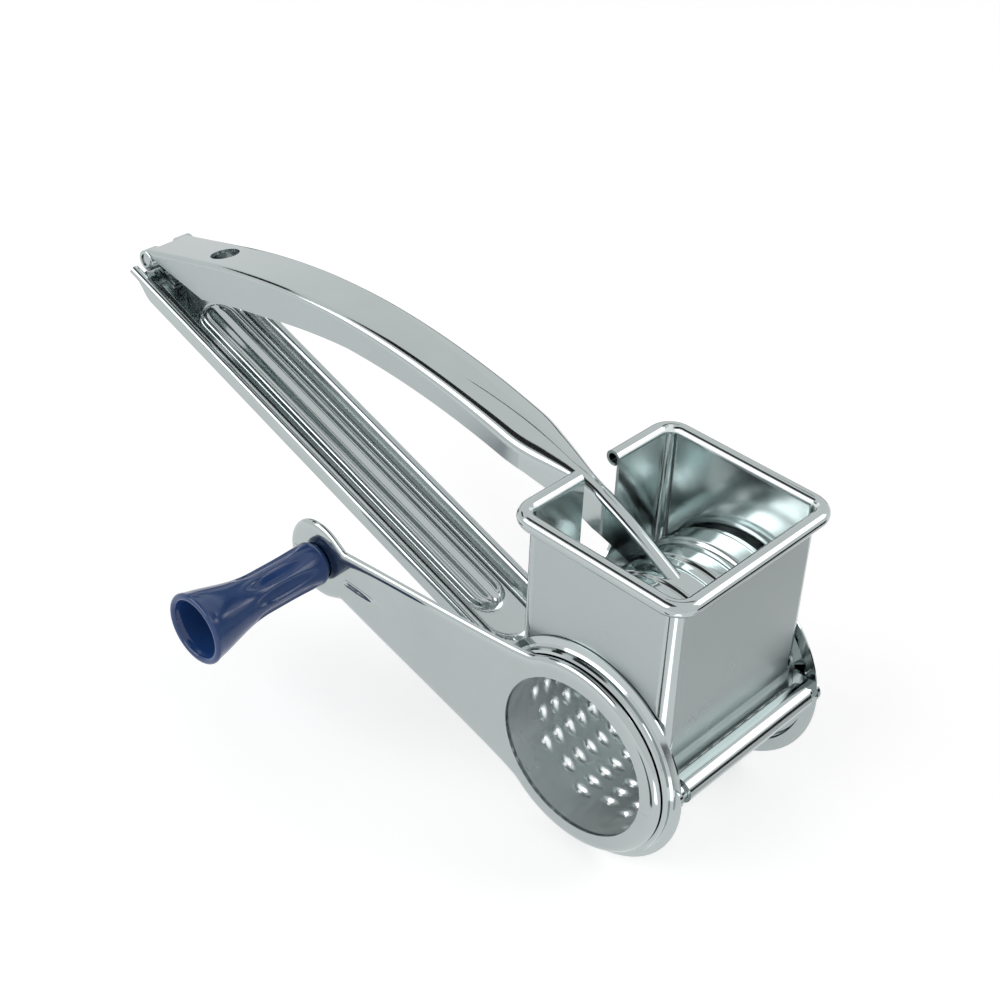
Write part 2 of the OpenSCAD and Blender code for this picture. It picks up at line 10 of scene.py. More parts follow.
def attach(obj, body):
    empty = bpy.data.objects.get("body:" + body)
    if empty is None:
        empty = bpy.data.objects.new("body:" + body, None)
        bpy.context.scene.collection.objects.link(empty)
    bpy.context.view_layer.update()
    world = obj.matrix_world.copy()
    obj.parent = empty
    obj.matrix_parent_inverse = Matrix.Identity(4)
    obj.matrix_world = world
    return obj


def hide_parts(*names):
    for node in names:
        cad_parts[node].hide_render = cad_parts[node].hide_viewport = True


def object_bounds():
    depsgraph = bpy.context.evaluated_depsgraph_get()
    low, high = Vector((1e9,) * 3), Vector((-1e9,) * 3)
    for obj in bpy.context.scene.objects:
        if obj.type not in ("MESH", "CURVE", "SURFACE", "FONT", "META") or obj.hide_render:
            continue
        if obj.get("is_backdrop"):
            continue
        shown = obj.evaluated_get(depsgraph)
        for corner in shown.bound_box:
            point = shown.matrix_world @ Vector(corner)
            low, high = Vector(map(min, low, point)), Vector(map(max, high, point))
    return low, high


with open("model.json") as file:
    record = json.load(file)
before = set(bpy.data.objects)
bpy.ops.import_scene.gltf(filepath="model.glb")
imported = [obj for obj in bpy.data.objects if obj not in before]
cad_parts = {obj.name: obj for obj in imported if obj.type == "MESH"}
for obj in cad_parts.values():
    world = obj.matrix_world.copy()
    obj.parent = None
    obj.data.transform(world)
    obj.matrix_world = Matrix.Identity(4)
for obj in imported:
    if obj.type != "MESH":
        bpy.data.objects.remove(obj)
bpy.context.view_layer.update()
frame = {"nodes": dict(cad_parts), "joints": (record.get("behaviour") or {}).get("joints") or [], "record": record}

MM = 0.001

# Axes of the joints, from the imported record
JOINTS = {j["name"]: np.array(j["pos_m"]) / MM for j in frame["joints"]}
DRUM = JOINTS["crank_spin"] * [1, 0, 1]
HINGE = JOINTS["press_hinge"] * [1, 0, 1] - DRUM
KNOB = JOINTS["knob_spin"] * [1, 0, 1] - DRUM

# Sizes of the construction: sheet and gaps
SHEET = 0.9
SEAM = 0.05
RUN_GAP = 0.08
# Drum and its teeth
DRUM_R = 21.2
DRUM_IN = 20.6
DRUM_PAST = 0.3
TOOTH_H = 0.8
TOOTH_ROWS = 18
TOOTH_PITCH = 4.2
TEETH = 10
# Hopper and side plates
HOPPER_L = 42.5
HOPPER_W = 48.0
HOPPER_TOP = 56.0
HOPPER_BACK = 0.5
RIM_R = 2.0
SLOT_W = 12.0
SLOT_H = 30.0
WALL_LOW = 5.4
SEAT_H = 3.0
# Crank and knob
CRANK_L = 87.2
CRANK_DEG = 4.7
END_R = 11.0
CRANK_W = 13.0
CRANK_EDGE = 1.6
CRANK_GAP = 0.35
KNOB_L = 39.0
KNOB_R = 9.5
KNOB_WAIST = 5.6
PIN_R = 2.4
# Upper arm and pad
BOW_X = 96.6
BOW_Z = 62.9
BOW_R = 238.0
DROP_R = 150.0
NECK_DEG = 29.0
ARM_W = 7.4
NECK_W = 2.1
HANG_R = 4.0
HANG_X = 25.6
PAD_GAP = 0.6
OPEN_DEG = 4.2
PAD_FRONT = 50
PAD_BACK = 60
PAD_SIDE = 1.6
BAND_H = 1.1
# Lower arm and hinge
BASE_W = 12.3
TRAY_H = 3.8
SKIRT_H = 4.4
BASE_DROP = 6.3
BASE_X = 33.5
HINGE_R = 1.95
TONGUE_Y = 3.108
TONGUE_GAP = 0.3
KNUCKLE_PAST = 0.4

# Sizes that only the looks have: finer forms, and a ring measured later than the construction's
CORNER_R = 2.6
RING_R = 25.4
LIP_LOW = 4.6
LIP_TOP = 8.8
INNER_BAND_H = 0.6

# Faces with the satin finish: least area in square millimetres on the hopper, and least share of the
# normal along an axis, on the hopper's walls and on the arm's flanks
SATIN_LEAST = 30.0
WALL_FLAT = 0.9
FLANK_FLAT = 0.97
# Angles over which an edge is shaded sharp: by default, on bent and cut sheets, on pressed ones and on nodes
SHARP_DEG = 32
SOFT_DEG = 40
SHEET_DEG = 50
NODE_DEG = 35
# Rounding of cut edges
EDGE_W = 0.12
EDGE_DEG = 40
EDGE_STEPS = 2
# Least cosine at a corner of a path, which limits how far the miter there reaches out
MITER_LEAST = 0.6
# Half length of the cutters that go through the whole hopper
PAST = 60
# Radius left open in the middle of a turned rod, and the distance at which loose points join
CORE = 0.001
WELD = 0.0005

# Places and radii that follow from these, measured from the drum axis
HINGE_X = -HINGE[0]
HINGE_Z = HINGE[2]
PLATE_Y = HOPPER_W / 2 + SHEET + SEAM
SEAT_Y = PLATE_Y + SEAT_H
EDGE_Y = HOPPER_W / 2 + 2 * RIM_R + CRANK_GAP
FACE_Y = EDGE_Y + CRANK_EDGE
PAD_IN = DRUM_R + TOOTH_H + PAD_GAP
PAD_OUT = PAD_IN + SHEET
DRUM_FAR = SEAT_Y + DRUM_PAST
KNUCKLE_R = HINGE_R + RUN_GAP + SHEET
# Inner and outer end of a knuckle of the upper arm
KNUCKLE = (TONGUE_Y + TONGUE_GAP, ARM_W + KNUCKLE_PAST)


def smooth(a, b, x):
    """Soft step from 0 at a to 1 at b."""
    t = np.clip((np.asarray(x, float) - a) / (b - a), 0, 1)
    return t * t * (3 - 2 * t)


def hump(a, b, c, d, x):
    """Soft step up from a to b and down again from c to d."""
    return smooth(a, b, x) * (1 - smooth(c, d, x))


def mix(a, b, t):
    return a + (b - a) * t


def cosd(a):
    return np.cos(np.radians(a))


def sind(a):
    return np.sin(np.radians(a))


def arc(x, z, r, a, b, n):
    """Points of an arc from a to b degrees in n steps."""
    t = np.linspace(a, b, n + 1)
    return np.stack([x + r * cosd(t), z + r * sind(t)], 1)


def normals(path):
    """Right-hand normals of an open path, longer at its corners."""
    d = np.diff(path, axis=0)
    d = d / np.maximum(np.linalg.norm(d, axis=1), 1e-9)[:, None]
    a = np.vstack([d[:1], d])
    b = np.vstack([d, d[-1:]])
    m = a + b
    m = m / np.linalg.norm(m, axis=1)[:, None]
    n = np.stack([m[:, 1], -m[:, 0]], 1)
    return n / np.maximum(MITER_LEAST, (m * a).sum(1))[:, None]


def sheet(path, t=SHEET):
    """Closed outline of a sheet on the right-hand side of an open path."""
    path = np.asarray(path, float)
    return np.vstack([path, (path + t * normals(path))[::-1]])


# Meshes

def link(name, mesh):
    """Object of a mesh, linked to the scene."""
    piece = bpy.data.objects.new(name, mesh)
    bpy.context.scene.collection.objects.link(piece)
    return piece


def make(name, verts, faces, angle=SHARP_DEG, merge=0.0):
    """Object from points round the drum axis in millimetres."""
    mesh = bpy.data.meshes.new(name)
    verts = (np.asarray(verts, float) + DRUM) * MM
    mesh.from_pydata(verts.tolist(), [], [list(map(int, f)) for f in faces])
    bm = bmesh.new()
    bm.from_mesh(mesh)
    if merge:
        bmesh.ops.remove_doubles(bm, verts=bm.verts, dist=merge * MM)
    bmesh.ops.recalc_face_normals(bm, faces=bm.faces)
    bm.to_mesh(mesh)
    bm.free()
    piece = link(name, mesh)
    shade(piece, angle)
    return piece


def shade(piece, angle=SHARP_DEG):
    """Smooth shading, with edges over the angle kept sharp."""
    mesh = piece.data
    mesh.shade_smooth()
    mesh.set_sharp_from_angle(angle=math.radians(angle))


def bake(piece):
    """Applies the modifiers of a piece."""
    graph = bpy.context.evaluated_depsgraph_get()
    mesh = bpy.data.meshes.new_from_object(piece.evaluated_get(graph))
    old = piece.data
    piece.modifiers.clear()
    piece.data = mesh
    bpy.data.meshes.remove(old)


def grid(rows, closed=False, start=0):
    """Quads of a grid of rows with equal counts. Closed joins the last point to the first."""
    m, n = len(rows), len(rows[0])
    faces = []
    for i in range(m - 1):
        for j in range(n if closed else n - 1):
            k = (j + 1) % n
            faces.append([start + i * n + j, start + i * n + k,
                          start + (i + 1) * n + k, start + (i + 1) * n + j])
    return faces


def loft(name, rings, angle=SHARP_DEG, close=False):
    """Closed solid through rings. Close joins the last ring to the first."""
    rings = [np.asarray(r, float) for r in rings]
    n = len(rings[0])
    if close:
        rings.append(rings[0])
    faces = grid(rings, closed=True)
    if not close:
        last = (len(rings) - 1) * n
        faces += [list(range(n))[::-1], list(range(last, last + n))]
    return make(name, np.vstack(rings), faces, angle, merge=WELD if close else 0.0)


def spin(name, profile, n, centre=(0, 0, 0)):
    """Solid turned about Y from a closed outline of radius and height."""
    profile = np.asarray(profile, float)
    rings = []
    for a in np.linspace(0, 360, n, endpoint=False):
        ring = np.stack([profile[:, 0] * cosd(a), profile[:, 1], profile[:, 0] * sind(a)], 1)
        rings.append(ring + centre)
    return loft(name, rings, close=True)


def prism(name, outline, y0, y1, angle=SHARP_DEG):
    """Solid along Y from an outline of x and z."""
    return loft(name, [[[x, y, z] for x, z in outline] for y in (y0, y1)], angle)


def face_towards(piece, index, way):
    """Flips an open surface if its face of that index looks away from a direction."""
    if piece.data.polygons[index].normal.dot(Vector(way)) < 0:
        piece.data.flip_normals()


def thicken(piece, t=SHEET):
    """Gives an open surface the sheet's thickness, behind its face."""
    m = piece.modifiers.new("sheet", "SOLIDIFY")
    m.thickness = t * MM
    m.offset = -1
    m.use_even_offset = True
    m.use_quality_normals = True
    bake(piece)


def cut(piece, *cutters):
    """Cuts the cutters out of a piece and deletes them."""
    for c in cutters:
        m = piece.modifiers.new("cut", "BOOLEAN")
        m.object = c
        m.operation = "DIFFERENCE"
        m.solver = "EXACT"
        bake(piece)
        bpy.data.objects.remove(c)


def finish_edges(piece, width=EDGE_W):
    """Small rounding of the cut edges of the sheet, and even shading."""
    if width:
        m = piece.modifiers.new("edges", "BEVEL")
        m.width = width * MM
        m.segments = EDGE_STEPS
        m.limit_method = "ANGLE"
        m.angle_limit = math.radians(EDGE_DEG)
        m.use_clamp_overlap = True
    m = piece.modifiers.new("even", "WEIGHTED_NORMAL")
    m.keep_sharp = True
    m.weight = 50


def turn(points, deg):
    """Turns points about Y so that +X goes towards +Z."""
    p = np.asarray(points, float)
    c, s = cosd(deg), sind(deg)
    return np.stack([c * p[:, 0] - s * p[:, 2], p[:, 1], s * p[:, 0] + c * p[:, 2]], 1)


def rod(name, r, y0, y1, x=0.0, z=0.0, n=96):
    """Cylinder along Y with a pinhole of CORE in its middle."""
    return spin(name, [[CORE, y0], [r, y0], [r, y1], [CORE, y1]], n, centre=(x, 0, z))


# Materials

# Noise of the steel: cloudy polish, slow pressing waves and fine grain, with the depths in metres
CLOUD_SCALE = 70.0
WAVE_SCALE = 38.0
WAVE_DEPTH = 0.0006
GRAIN_SCALE = 1800.0
GRAIN_DEPTH = 0.00005
# Spread of the steel's roughness and colour round their values
ROUGH_SPREAD = (0.6, 1.4)
TINT_SPREAD = (0.94, 1.05)
# Noise of the plastic and range of its roughness
MARK_SCALE = 110.0
MARK_DEPTH = 0.0003
GLOSS = (0.09, 0.18)
# Cards and floor of the stage
CARD_BLACK = (0.01, 0.01, 0.01, 1)
WHITE = (1, 1, 1, 1)
MATT = 0.9


def nodes_of(name):
    """New material with its node tree and its shader."""
    m = bpy.data.materials.new(name)
    m.use_nodes = True
    tree = m.node_tree
    shader = tree.nodes["Principled BSDF"]
    return m, tree, shader


def add(tree, kind, **values):
    """New node. Names that begin with in_ set its sockets."""
    node = tree.nodes.new(kind)
    for k, v in values.items():
        if k.startswith("in_"):
            node.inputs[k[3:].replace("_", " ")].default_value = v
        else:
            setattr(node, k, v)
    return node


def ramp(tree, source, a, b, low=0.0, high=1.0):
    """Maps a value from low..high to a..b."""
    node = add(tree, "ShaderNodeMapRange")
    node.inputs["From Min"].default_value = low
    node.inputs["From Max"].default_value = high
    node.inputs["To Min"].default_value = a
    node.inputs["To Max"].default_value = b
    tree.links.new(source, node.inputs["Value"])
    return node.outputs["Result"]


def steel(name, colour, rough=0.1, wave=0.18, grain=0.006):
    """Polished pressed steel: cloudy polish, slow waves of the pressing and a fine polishing grain."""
    m, tree, shader = nodes_of(name)
    shader.inputs["Metallic"].default_value = 1.0
    place = add(tree, "ShaderNodeTexCoord")
    cloud = add(tree, "ShaderNodeTexNoise", in_Scale=CLOUD_SCALE, in_Detail=3.0, in_Roughness=0.55)
    tree.links.new(place.outputs["Object"], cloud.inputs["Vector"])
    fine = add(tree, "ShaderNodeTexNoise", in_Scale=GRAIN_SCALE, in_Detail=2.0)
    tree.links.new(place.outputs["Object"], fine.inputs["Vector"])
    tint = add(tree, "ShaderNodeMix", data_type="RGBA")
    tint.inputs["A"].default_value = [c * TINT_SPREAD[0] for c in colour] + [1]
    tint.inputs["B"].default_value = [min(1, c * TINT_SPREAD[1]) for c in colour] + [1]
    tree.links.new(cloud.outputs["Fac"], tint.inputs["Factor"])
    tree.links.new(tint.outputs["Result"], shader.inputs["Base Color"])
    low, high = (rough * share for share in ROUGH_SPREAD)
    tree.links.new(ramp(tree, cloud.outputs["Fac"], low, high), shader.inputs["Roughness"])
    slow = add(tree, "ShaderNodeTexNoise", in_Scale=WAVE_SCALE, in_Detail=1.0)
    tree.links.new(place.outputs["Object"], slow.inputs["Vector"])
    b1 = add(tree, "ShaderNodeBump", in_Strength=wave, in_Distance=WAVE_DEPTH)
    tree.links.new(slow.outputs["Fac"], b1.inputs["Height"])
    b2 = add(tree, "ShaderNodeBump", in_Strength=grain, in_Distance=GRAIN_DEPTH)
    tree.links.new(fine.outputs["Fac"], b2.inputs["Height"])
    tree.links.new(b1.outputs["Normal"], b2.inputs["Normal"])
    tree.links.new(b2.outputs["Normal"], shader.inputs["Normal"])
    return m


def plastic(name, dark, light):
    """Glossy dyed plastic with a faint cloudiness and moulding marks."""
    m, tree, shader = nodes_of(name)
    place = add(tree, "ShaderNodeTexCoord")
    cloud = add(tree, "ShaderNodeTexNoise", in_Scale=MARK_SCALE, in_Detail=4.0)
    tree.links.new(place.outputs["Object"], cloud.inputs["Vector"])
    tint = add(tree, "ShaderNodeMix", data_type="RGBA")
    tint.inputs["A"].default_value = list(dark) + [1]
    tint.inputs["B"].default_value = list(light) + [1]
    tree.links.new(cloud.outputs["Fac"], tint.inputs["Factor"])
    tree.links.new(tint.outputs["Result"], shader.inputs["Base Color"])
    tree.links.new(ramp(tree, cloud.outputs["Fac"], *GLOSS, 0.3, 0.7), shader.inputs["Roughness"])
    bump = add(tree, "ShaderNodeBump", in_Strength=0.05, in_Distance=MARK_DEPTH)
    tree.links.new(cloud.outputs["Fac"], bump.inputs["Height"])
    tree.links.new(bump.outputs["Normal"], shader.inputs["Normal"])
    return m


STEEL_COLOUR = (0.44, 0.485, 0.485)
PRESSED = steel("pressed steel", STEEL_COLOUR)
# Lighter copy of the pressed steel for the hopper's inner faces: painted bounce light, in place of the light that
# the walls reflect onto each other
INSIDE_PAINTED_LIGHT = steel("pressed steel, inner faces, painted bounce light", (0.70, 0.76, 0.76), rough=0.16, wave=0.3)
SATIN = steel("pressed steel, satin", (0.405, 0.45, 0.45), rough=0.32)
BRUSHED = steel("pressed steel, brushed", STEEL_COLOUR, rough=0.14)
# Steel of the drum, far lighter than the other steel: painted light inside the drum, in place of the light that
# its shell bounces
DRUM_STEEL_PAINTED_LIGHT = steel("drum steel, painted lighter", (0.90, 0.94, 0.94), rough=0.26, wave=0.15)
PIN_STEEL = steel("pin steel", (0.42, 0.45, 0.45), rough=0.16, wave=0.1)
BLUE = plastic("blue plastic", (0.009, 0.034, 0.122), (0.015, 0.050, 0.170))
SLOTS = {"pressed_steel": PRESSED, "drum_steel": DRUM_STEEL_PAINTED_LIGHT, "pin_steel": PIN_STEEL, "blue_plastic": BLUE}
SLOT_OF = {s["node"]: s["material_slot"] for s in frame["record"]["subparts"]}
LOOK_OF = {n: SLOTS[s] for n, s in SLOT_OF.items()} | {
    "lower_arm": BRUSHED, "front_bar": BRUSHED, "drum_end": BRUSHED}
BODY_OF = {n: b for b, ns in frame["record"]["behaviour"]["bodies"].items() for n in ns}


def dress(piece, *stands_for):
    """Gives a piece the finish and the body of the node that it stands for."""
    first = stands_for[0]
    piece.data.materials.clear()
    piece.data.materials.append(LOOK_OF[first])
    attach(piece, BODY_OF[first])
    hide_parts(*stands_for)


# Upper arm

# Line of the arm's back: straight tail, bow, drop from DROP_RUN past the bow's top on, and straight neck
DROP_RUN = 50
TAIL_X = -(HINGE_X - HANG_X)
TAIL_SIN = (TAIL_X + BOW_X) / BOW_R
TAIL_Z = BOW_Z - BOW_R * (1 - math.sqrt(1 - TAIL_SIN ** 2))
TAIL_DEG = -math.degrees(math.asin(TAIL_SIN))
DROP_X = -BOW_X + DROP_RUN
DROP_SIN = DROP_RUN / BOW_R
DROP_Z = BOW_Z - BOW_R * (1 - math.sqrt(1 - DROP_SIN ** 2))
NECK_X = DROP_X + DROP_R * (sind(NECK_DEG) - DROP_SIN)
NECK_Z = DROP_Z - DROP_R * (math.sqrt(1 - DROP_SIN ** 2) - cosd(NECK_DEG))
ARM_END = 16.5
ARM_STEP = 1.5
NARROWING = 26
# Shoulder of the section: a tight bend from the flange to a slope of BEND_DEG, a wide one from there
# to SHOULDER_DEG, and the radii of both along the arm
SHOULDER_DEG = 14
BEND_DEG = 44
SHOULDER_X = [-HINGE_X + 60, DROP_X - 12, DROP_X + 8, DROP_X + NARROWING]
OUTER_R = [1.2, 2.6, 3.2, 1.2]
INNER_R = [1.6, 4.0, 6.0, 2.6]
# Shares of these radii that lie across the arm, and the least web and flange that they leave
OUTER_SHARE = 0.35
INNER_SHARE = 0.45
SPARE = 0.4
# Half width of the flat web: less than the arm's by WEB_IN at the tail, WEB_NECK in front,
# changing over WEB_X
WEB_IN = 1.2
WEB_NECK = NECK_W * 0.4
WEB_X = (-BOW_X - 20, DROP_X + 8)
# Rise of the web's middle, and the share of a flat that eases into the next one
WEB_CROWN = 0.02
EASE = 0.1
# Height of the flanges along the arm
FLANGE_X = [-HINGE_X, -HINGE_X + 24, -HINGE_X + 50, -HINGE_X + 82, -40, -22, -8, 0]
FLANGE_H = [1, 11.1, 10.8, 8.4, 8, 10, 7.5, 6]


def arm_top(x):
    """Height of the arm's back over the drum axis."""
    if x < TAIL_X:
        return TAIL_Z + (x - TAIL_X) * math.tan(math.radians(TAIL_DEG))
    if x < DROP_X:
        return BOW_Z - BOW_R + math.sqrt(BOW_R ** 2 - (x + BOW_X) ** 2)
    if x < NECK_X:
        return (DROP_Z - DROP_R * math.sqrt(1 - DROP_SIN ** 2)
                + math.sqrt(DROP_R ** 2 - (x - DROP_X + DROP_R * DROP_SIN) ** 2))
    return NECK_Z - (x - NECK_X) * math.tan(math.radians(NECK_DEG))


def arm_path(x):
    """Section of the arm: flange, shoulder of two radii, web, shoulder, flange."""
    neck = smooth(DROP_X, DROP_X + NARROWING, x)
    w = mix(ARM_W, NECK_W, neck)
    r = float(np.interp(x, SHOULDER_X, OUTER_R))
    big = min(float(np.interp(x, SHOULDER_X, INNER_R)), (w - OUTER_SHARE * r - SPARE) / INNER_SHARE)
    bend, flat = 90 + BEND_DEG, 90 + SHOULDER_DEG
    cy = -w + r + (r - big) * cosd(bend)
    py = cy + big * cosd(flat)
    a = min(-py - SPARE / 2, mix(w - WEB_IN, WEB_NECK, smooth(*WEB_X, x)))
    pz = (a + py) * math.tan(math.radians(SHOULDER_DEG))
    big_z = pz - big * sind(flat)
    cz = big_z - (r - big) * sind(bend)
    h = max(np.interp(x, FLANGE_X, FLANGE_H), SPARE - cz)
    half = np.vstack([[[-w, -h], [-w, mix(-h, cz, 0.5)]],
                      arc(-w + r, cz, r, 180, bend, 8),
                      arc(cy, big_z, big, bend, flat, 10)[1:],
                      [[mix(py, -a, 1 - EASE), mix(pz, -WEB_CROWN, 1 - EASE)], [mix(-a, 0, EASE), 0.0]]])
    return np.vstack([half, [[0, WEB_CROWN]], half[::-1] * [-1, 1]])


def arm_ring(x):
    """Upright section through the arm, as high as its slope makes it there."""
    slope = arm_top(x + 0.5) - arm_top(x - 0.5)
    outline = sheet(arm_path(x))
    z = arm_top(x) + outline[:, 1] * math.sqrt(1 + slope ** 2)
    return np.stack([np.full(len(z), x), outline[:, 0], z], 1)


# Axis of the pad's curve, which is the drum's when the press is shut by OPEN_DEG
PAD_AXIS = (-HINGE_X + HINGE_X * cosd(OPEN_DEG) + HINGE_Z * sind(OPEN_DEG),
            HINGE_Z - HINGE_Z * cosd(OPEN_DEG) + HINGE_X * sind(OPEN_DEG))

# Hole cutter's reach above and below the arm and its step, and room of the cut round the tongue's roll
HOLE_REACH = 4
HOLE_STEP_DEG = 3.75
KNUCKLE_ROOM = 0.35
KNUCKLE_CHAMFER = 0.15
KNUCKLE_STEPS = 72


def hole_cutter():
    """Cylinder through the arm's tail, square to it, for the hanging hole."""
    ends = [[], []]
    for a in np.arange(0, 360, HOLE_STEP_DEG):
        u, v = HANG_R * cosd(a), HANG_R * sind(a)
        for end, h in zip(ends, (-HOLE_REACH, HOLE_REACH)):
            end.append([TAIL_X + u * cosd(TAIL_DEG) - h * sind(TAIL_DEG), v,
                        TAIL_Z + u * sind(TAIL_DEG) + h * cosd(TAIL_DEG)])
    return loft("hole", ends)


def upper_arm():
    """Channel with its hanging hole, cut round the tongue's roll and the pad."""
    stations = np.r_[np.arange(-HINGE_X, ARM_END, ARM_STEP), ARM_END]
    arm = loft("arm_channel", [arm_ring(x) for x in stations])
    hole = hole_cutter()
    relief = rod("relief", KNUCKLE_R + KNUCKLE_ROOM, -KNUCKLE[0], KNUCKLE[0], -HINGE_X, HINGE_Z)
    seat = rod("seat", PAD_OUT + SEAM, -ARM_W, ARM_W, *PAD_AXIS)
    cut(arm, hole, relief, seat)
    shade(arm, SOFT_DEG)
    finish_edges(arm)
    dress(arm, "upper_arm")
    arm.data.materials.append(SATIN)
    for face in arm.data.polygons:
        if abs(face.normal.y) > FLANK_FLAT and abs(face.center.y) > (ARM_W - SHEET / 2) * MM:
            face.material_index = 1


def knuckles():
    """The two rolled ends of the upper arm round the hinge pin."""
    half = (KNUCKLE[1] - KNUCKLE[0]) / 2
    a, b, c = KNUCKLE_R - SHEET, KNUCKLE_R, KNUCKLE_CHAMFER
    section = [[a, -half], [b - c, -half], [b, c - half], [b, half - c], [b - c, half], [a, half]]
    for side, name in ((-1, "near_curl"), (1, "far_curl")):
        place = (-HINGE_X, side * (KNUCKLE[0] + half), HINGE_Z)
        dress(spin(name, section, n=KNUCKLE_STEPS, centre=place), "upper_arm")


# Presser pad: start of its outer bands as a share of its half width, of the inner ones as a share
# of that, and the width of a band's slope. The outer bands start BAND_OVERLAP early, and fall from
# PAD_RIM inside the edge. Points across the pad and along its curve
BAND_FROM = 0.6
INNER_FROM = 0.45
BAND_EDGE = 1.2
BAND_OVERLAP = 0.2
PAD_RIM = 2.6
PAD_ACROSS = 150
PAD_ROUND = 90


def presser_pad():
    """Curved plate with two high bands at its sides, two low ones beside the neck and one under it."""
    half = HOPPER_W / 2 - PAD_SIDE
    band = half * BAND_FROM
    low = band * INNER_FROM

    def height(y):
        a = abs(y)
        outer = hump(band - BAND_OVERLAP, band + BAND_EDGE, half - PAD_RIM, half - BAND_EDGE, a)
        inner = hump(low, low + BAND_EDGE, band - 2 * BAND_EDGE, band - BAND_EDGE, a)
        under_neck = 1 - smooth(NECK_W + BAND_EDGE / 2, NECK_W + BAND_EDGE * 1.5, a)
        return BAND_H * float(outer) + INNER_BAND_H * float(inner + under_neck)

    ys = np.linspace(-half, half, PAD_ACROSS)
    outer = [[PAD_OUT + height(y), y] for y in ys]
    inner = [[PAD_IN + height(y), y] for y in ys[::-1]]
    rows = []
    r = np.array(outer + inner)
    for a in np.linspace(90 + PAD_BACK, 90 - PAD_FRONT, PAD_ROUND):
        rows.append(np.stack([PAD_AXIS[0] + r[:, 0] * cosd(a + OPEN_DEG), r[:, 1],
                              PAD_AXIS[1] + r[:, 0] * sind(a + OPEN_DEG)], 1))
    pad = loft("pad", rows, angle=SOFT_DEG)
    finish_edges(pad)
    dress(pad, "presser_pad")


# Lower arm

# Radius of the tray's folds, half width of its floor, radius of its front corners, and its front lip
BASE_FOLD = 1.5
BASE_FLOOR = BASE_W - 4
BASE_CORNER = 5.0
LIP_L = 15.0
LIP_DROP = 1.0
LIP_SLOPE = 1.6
# Rib: half width, start, and distance of its end from the valley's. The floor runs on past the back end
RIB_W = 5.0
RIB_FROM = 24
RIB_TO_VALLEY = 9
PAST_BACK = 20
# The tray's top lies HINGE_DROP under the hinge's axis there
HINGE_DROP = 1.2
# Skirt at the back end as a share of its height, and where it rises to the whole
SKIRT_BACK = 0.35
SKIRT_RISE = (2, 9)
# Mesh of the tray: step along it, points across it, steps of its fold and of its front corners, and
# the degrees at which the fold ends
TRAY_STEP = 0.8
TRAY_ACROSS = 181
TRAY_ROUND = 12
FOLD_END = 97
# Lap of the tongue: distances from the hinge and heights over the tray's floor, then the radius of
# its bend and the height of the bend's middle
TONGUE_LAP = ((6, 0.25), (2.5, 0.2))
TONGUE_BEND = 1.6
TONGUE_RISE = 2.2
# Sections of the tray's wall and of the rib's, as distance inwards and height
WALL_IN = [-9, 0, 0.5, 0.9, 1.3, 2.55, 2.8, 3.05, 3.3, 4.3, 4.7]
WALL_Z = [0, 0, -0.09, -0.3, -0.75, -3.3, -3.9, -4.3, -4.4, -3.88, -3.8]
RIB_IN = [-0.9, -0.5, -0.2, 0.3, 0.6, 1.0]
RIB_Z = [0, 0.1, 0.4, 1.15, 1.4, 1.5]
# Shallow waves along the rib
RIB_WAVE = 0.22
RIB_PITCH = 4.6
RIB_WAVE_EDGE = (0.8, 2.2)


def strip(s, y, w, a, b):
    """Distance inside a strip of half width w with round ends at a and b."""
    return w - np.hypot(np.maximum(np.maximum(a - s, s - b), 0), y)


def tray_height(s, y, valley):
    """Height of the lower arm's top between its folds, s along and y across."""
    edge = BASE_W - BASE_FOLD - np.abs(y)
    side = np.interp(edge, WALL_IN, WALL_Z)
    inside = strip(s, y, BASE_FLOOR, -PAST_BACK, valley) + BASE_W - BASE_FOLD - BASE_FLOOR
    lip = -LIP_DROP * smooth(0, LIP_SLOPE, edge)
    tray = side if s < valley else np.minimum(np.interp(inside, WALL_IN, WALL_Z), lip)
    rib = strip(s, y, RIB_W, RIB_FROM, valley - RIB_TO_VALLEY)
    waves = RIB_WAVE * (np.cos(2 * math.pi * y / RIB_PITCH) - 1) * smooth(*RIB_WAVE_EDGE, rib)
    return tray + np.interp(rib, RIB_IN, RIB_Z) + waves


def base_top(x, slope):
    """Height of the lower arm's folds over the drum axis."""
    return -BASE_DROP - slope * (x + BASE_X)


BASE_SLOPE = (HINGE_Z - HINGE_DROP + BASE_DROP) / (HINGE_X - BASE_X)
BASE_TILT = math.degrees(math.atan(BASE_SLOPE))
BASE_TOP = base_top(-HINGE_X, BASE_SLOPE)


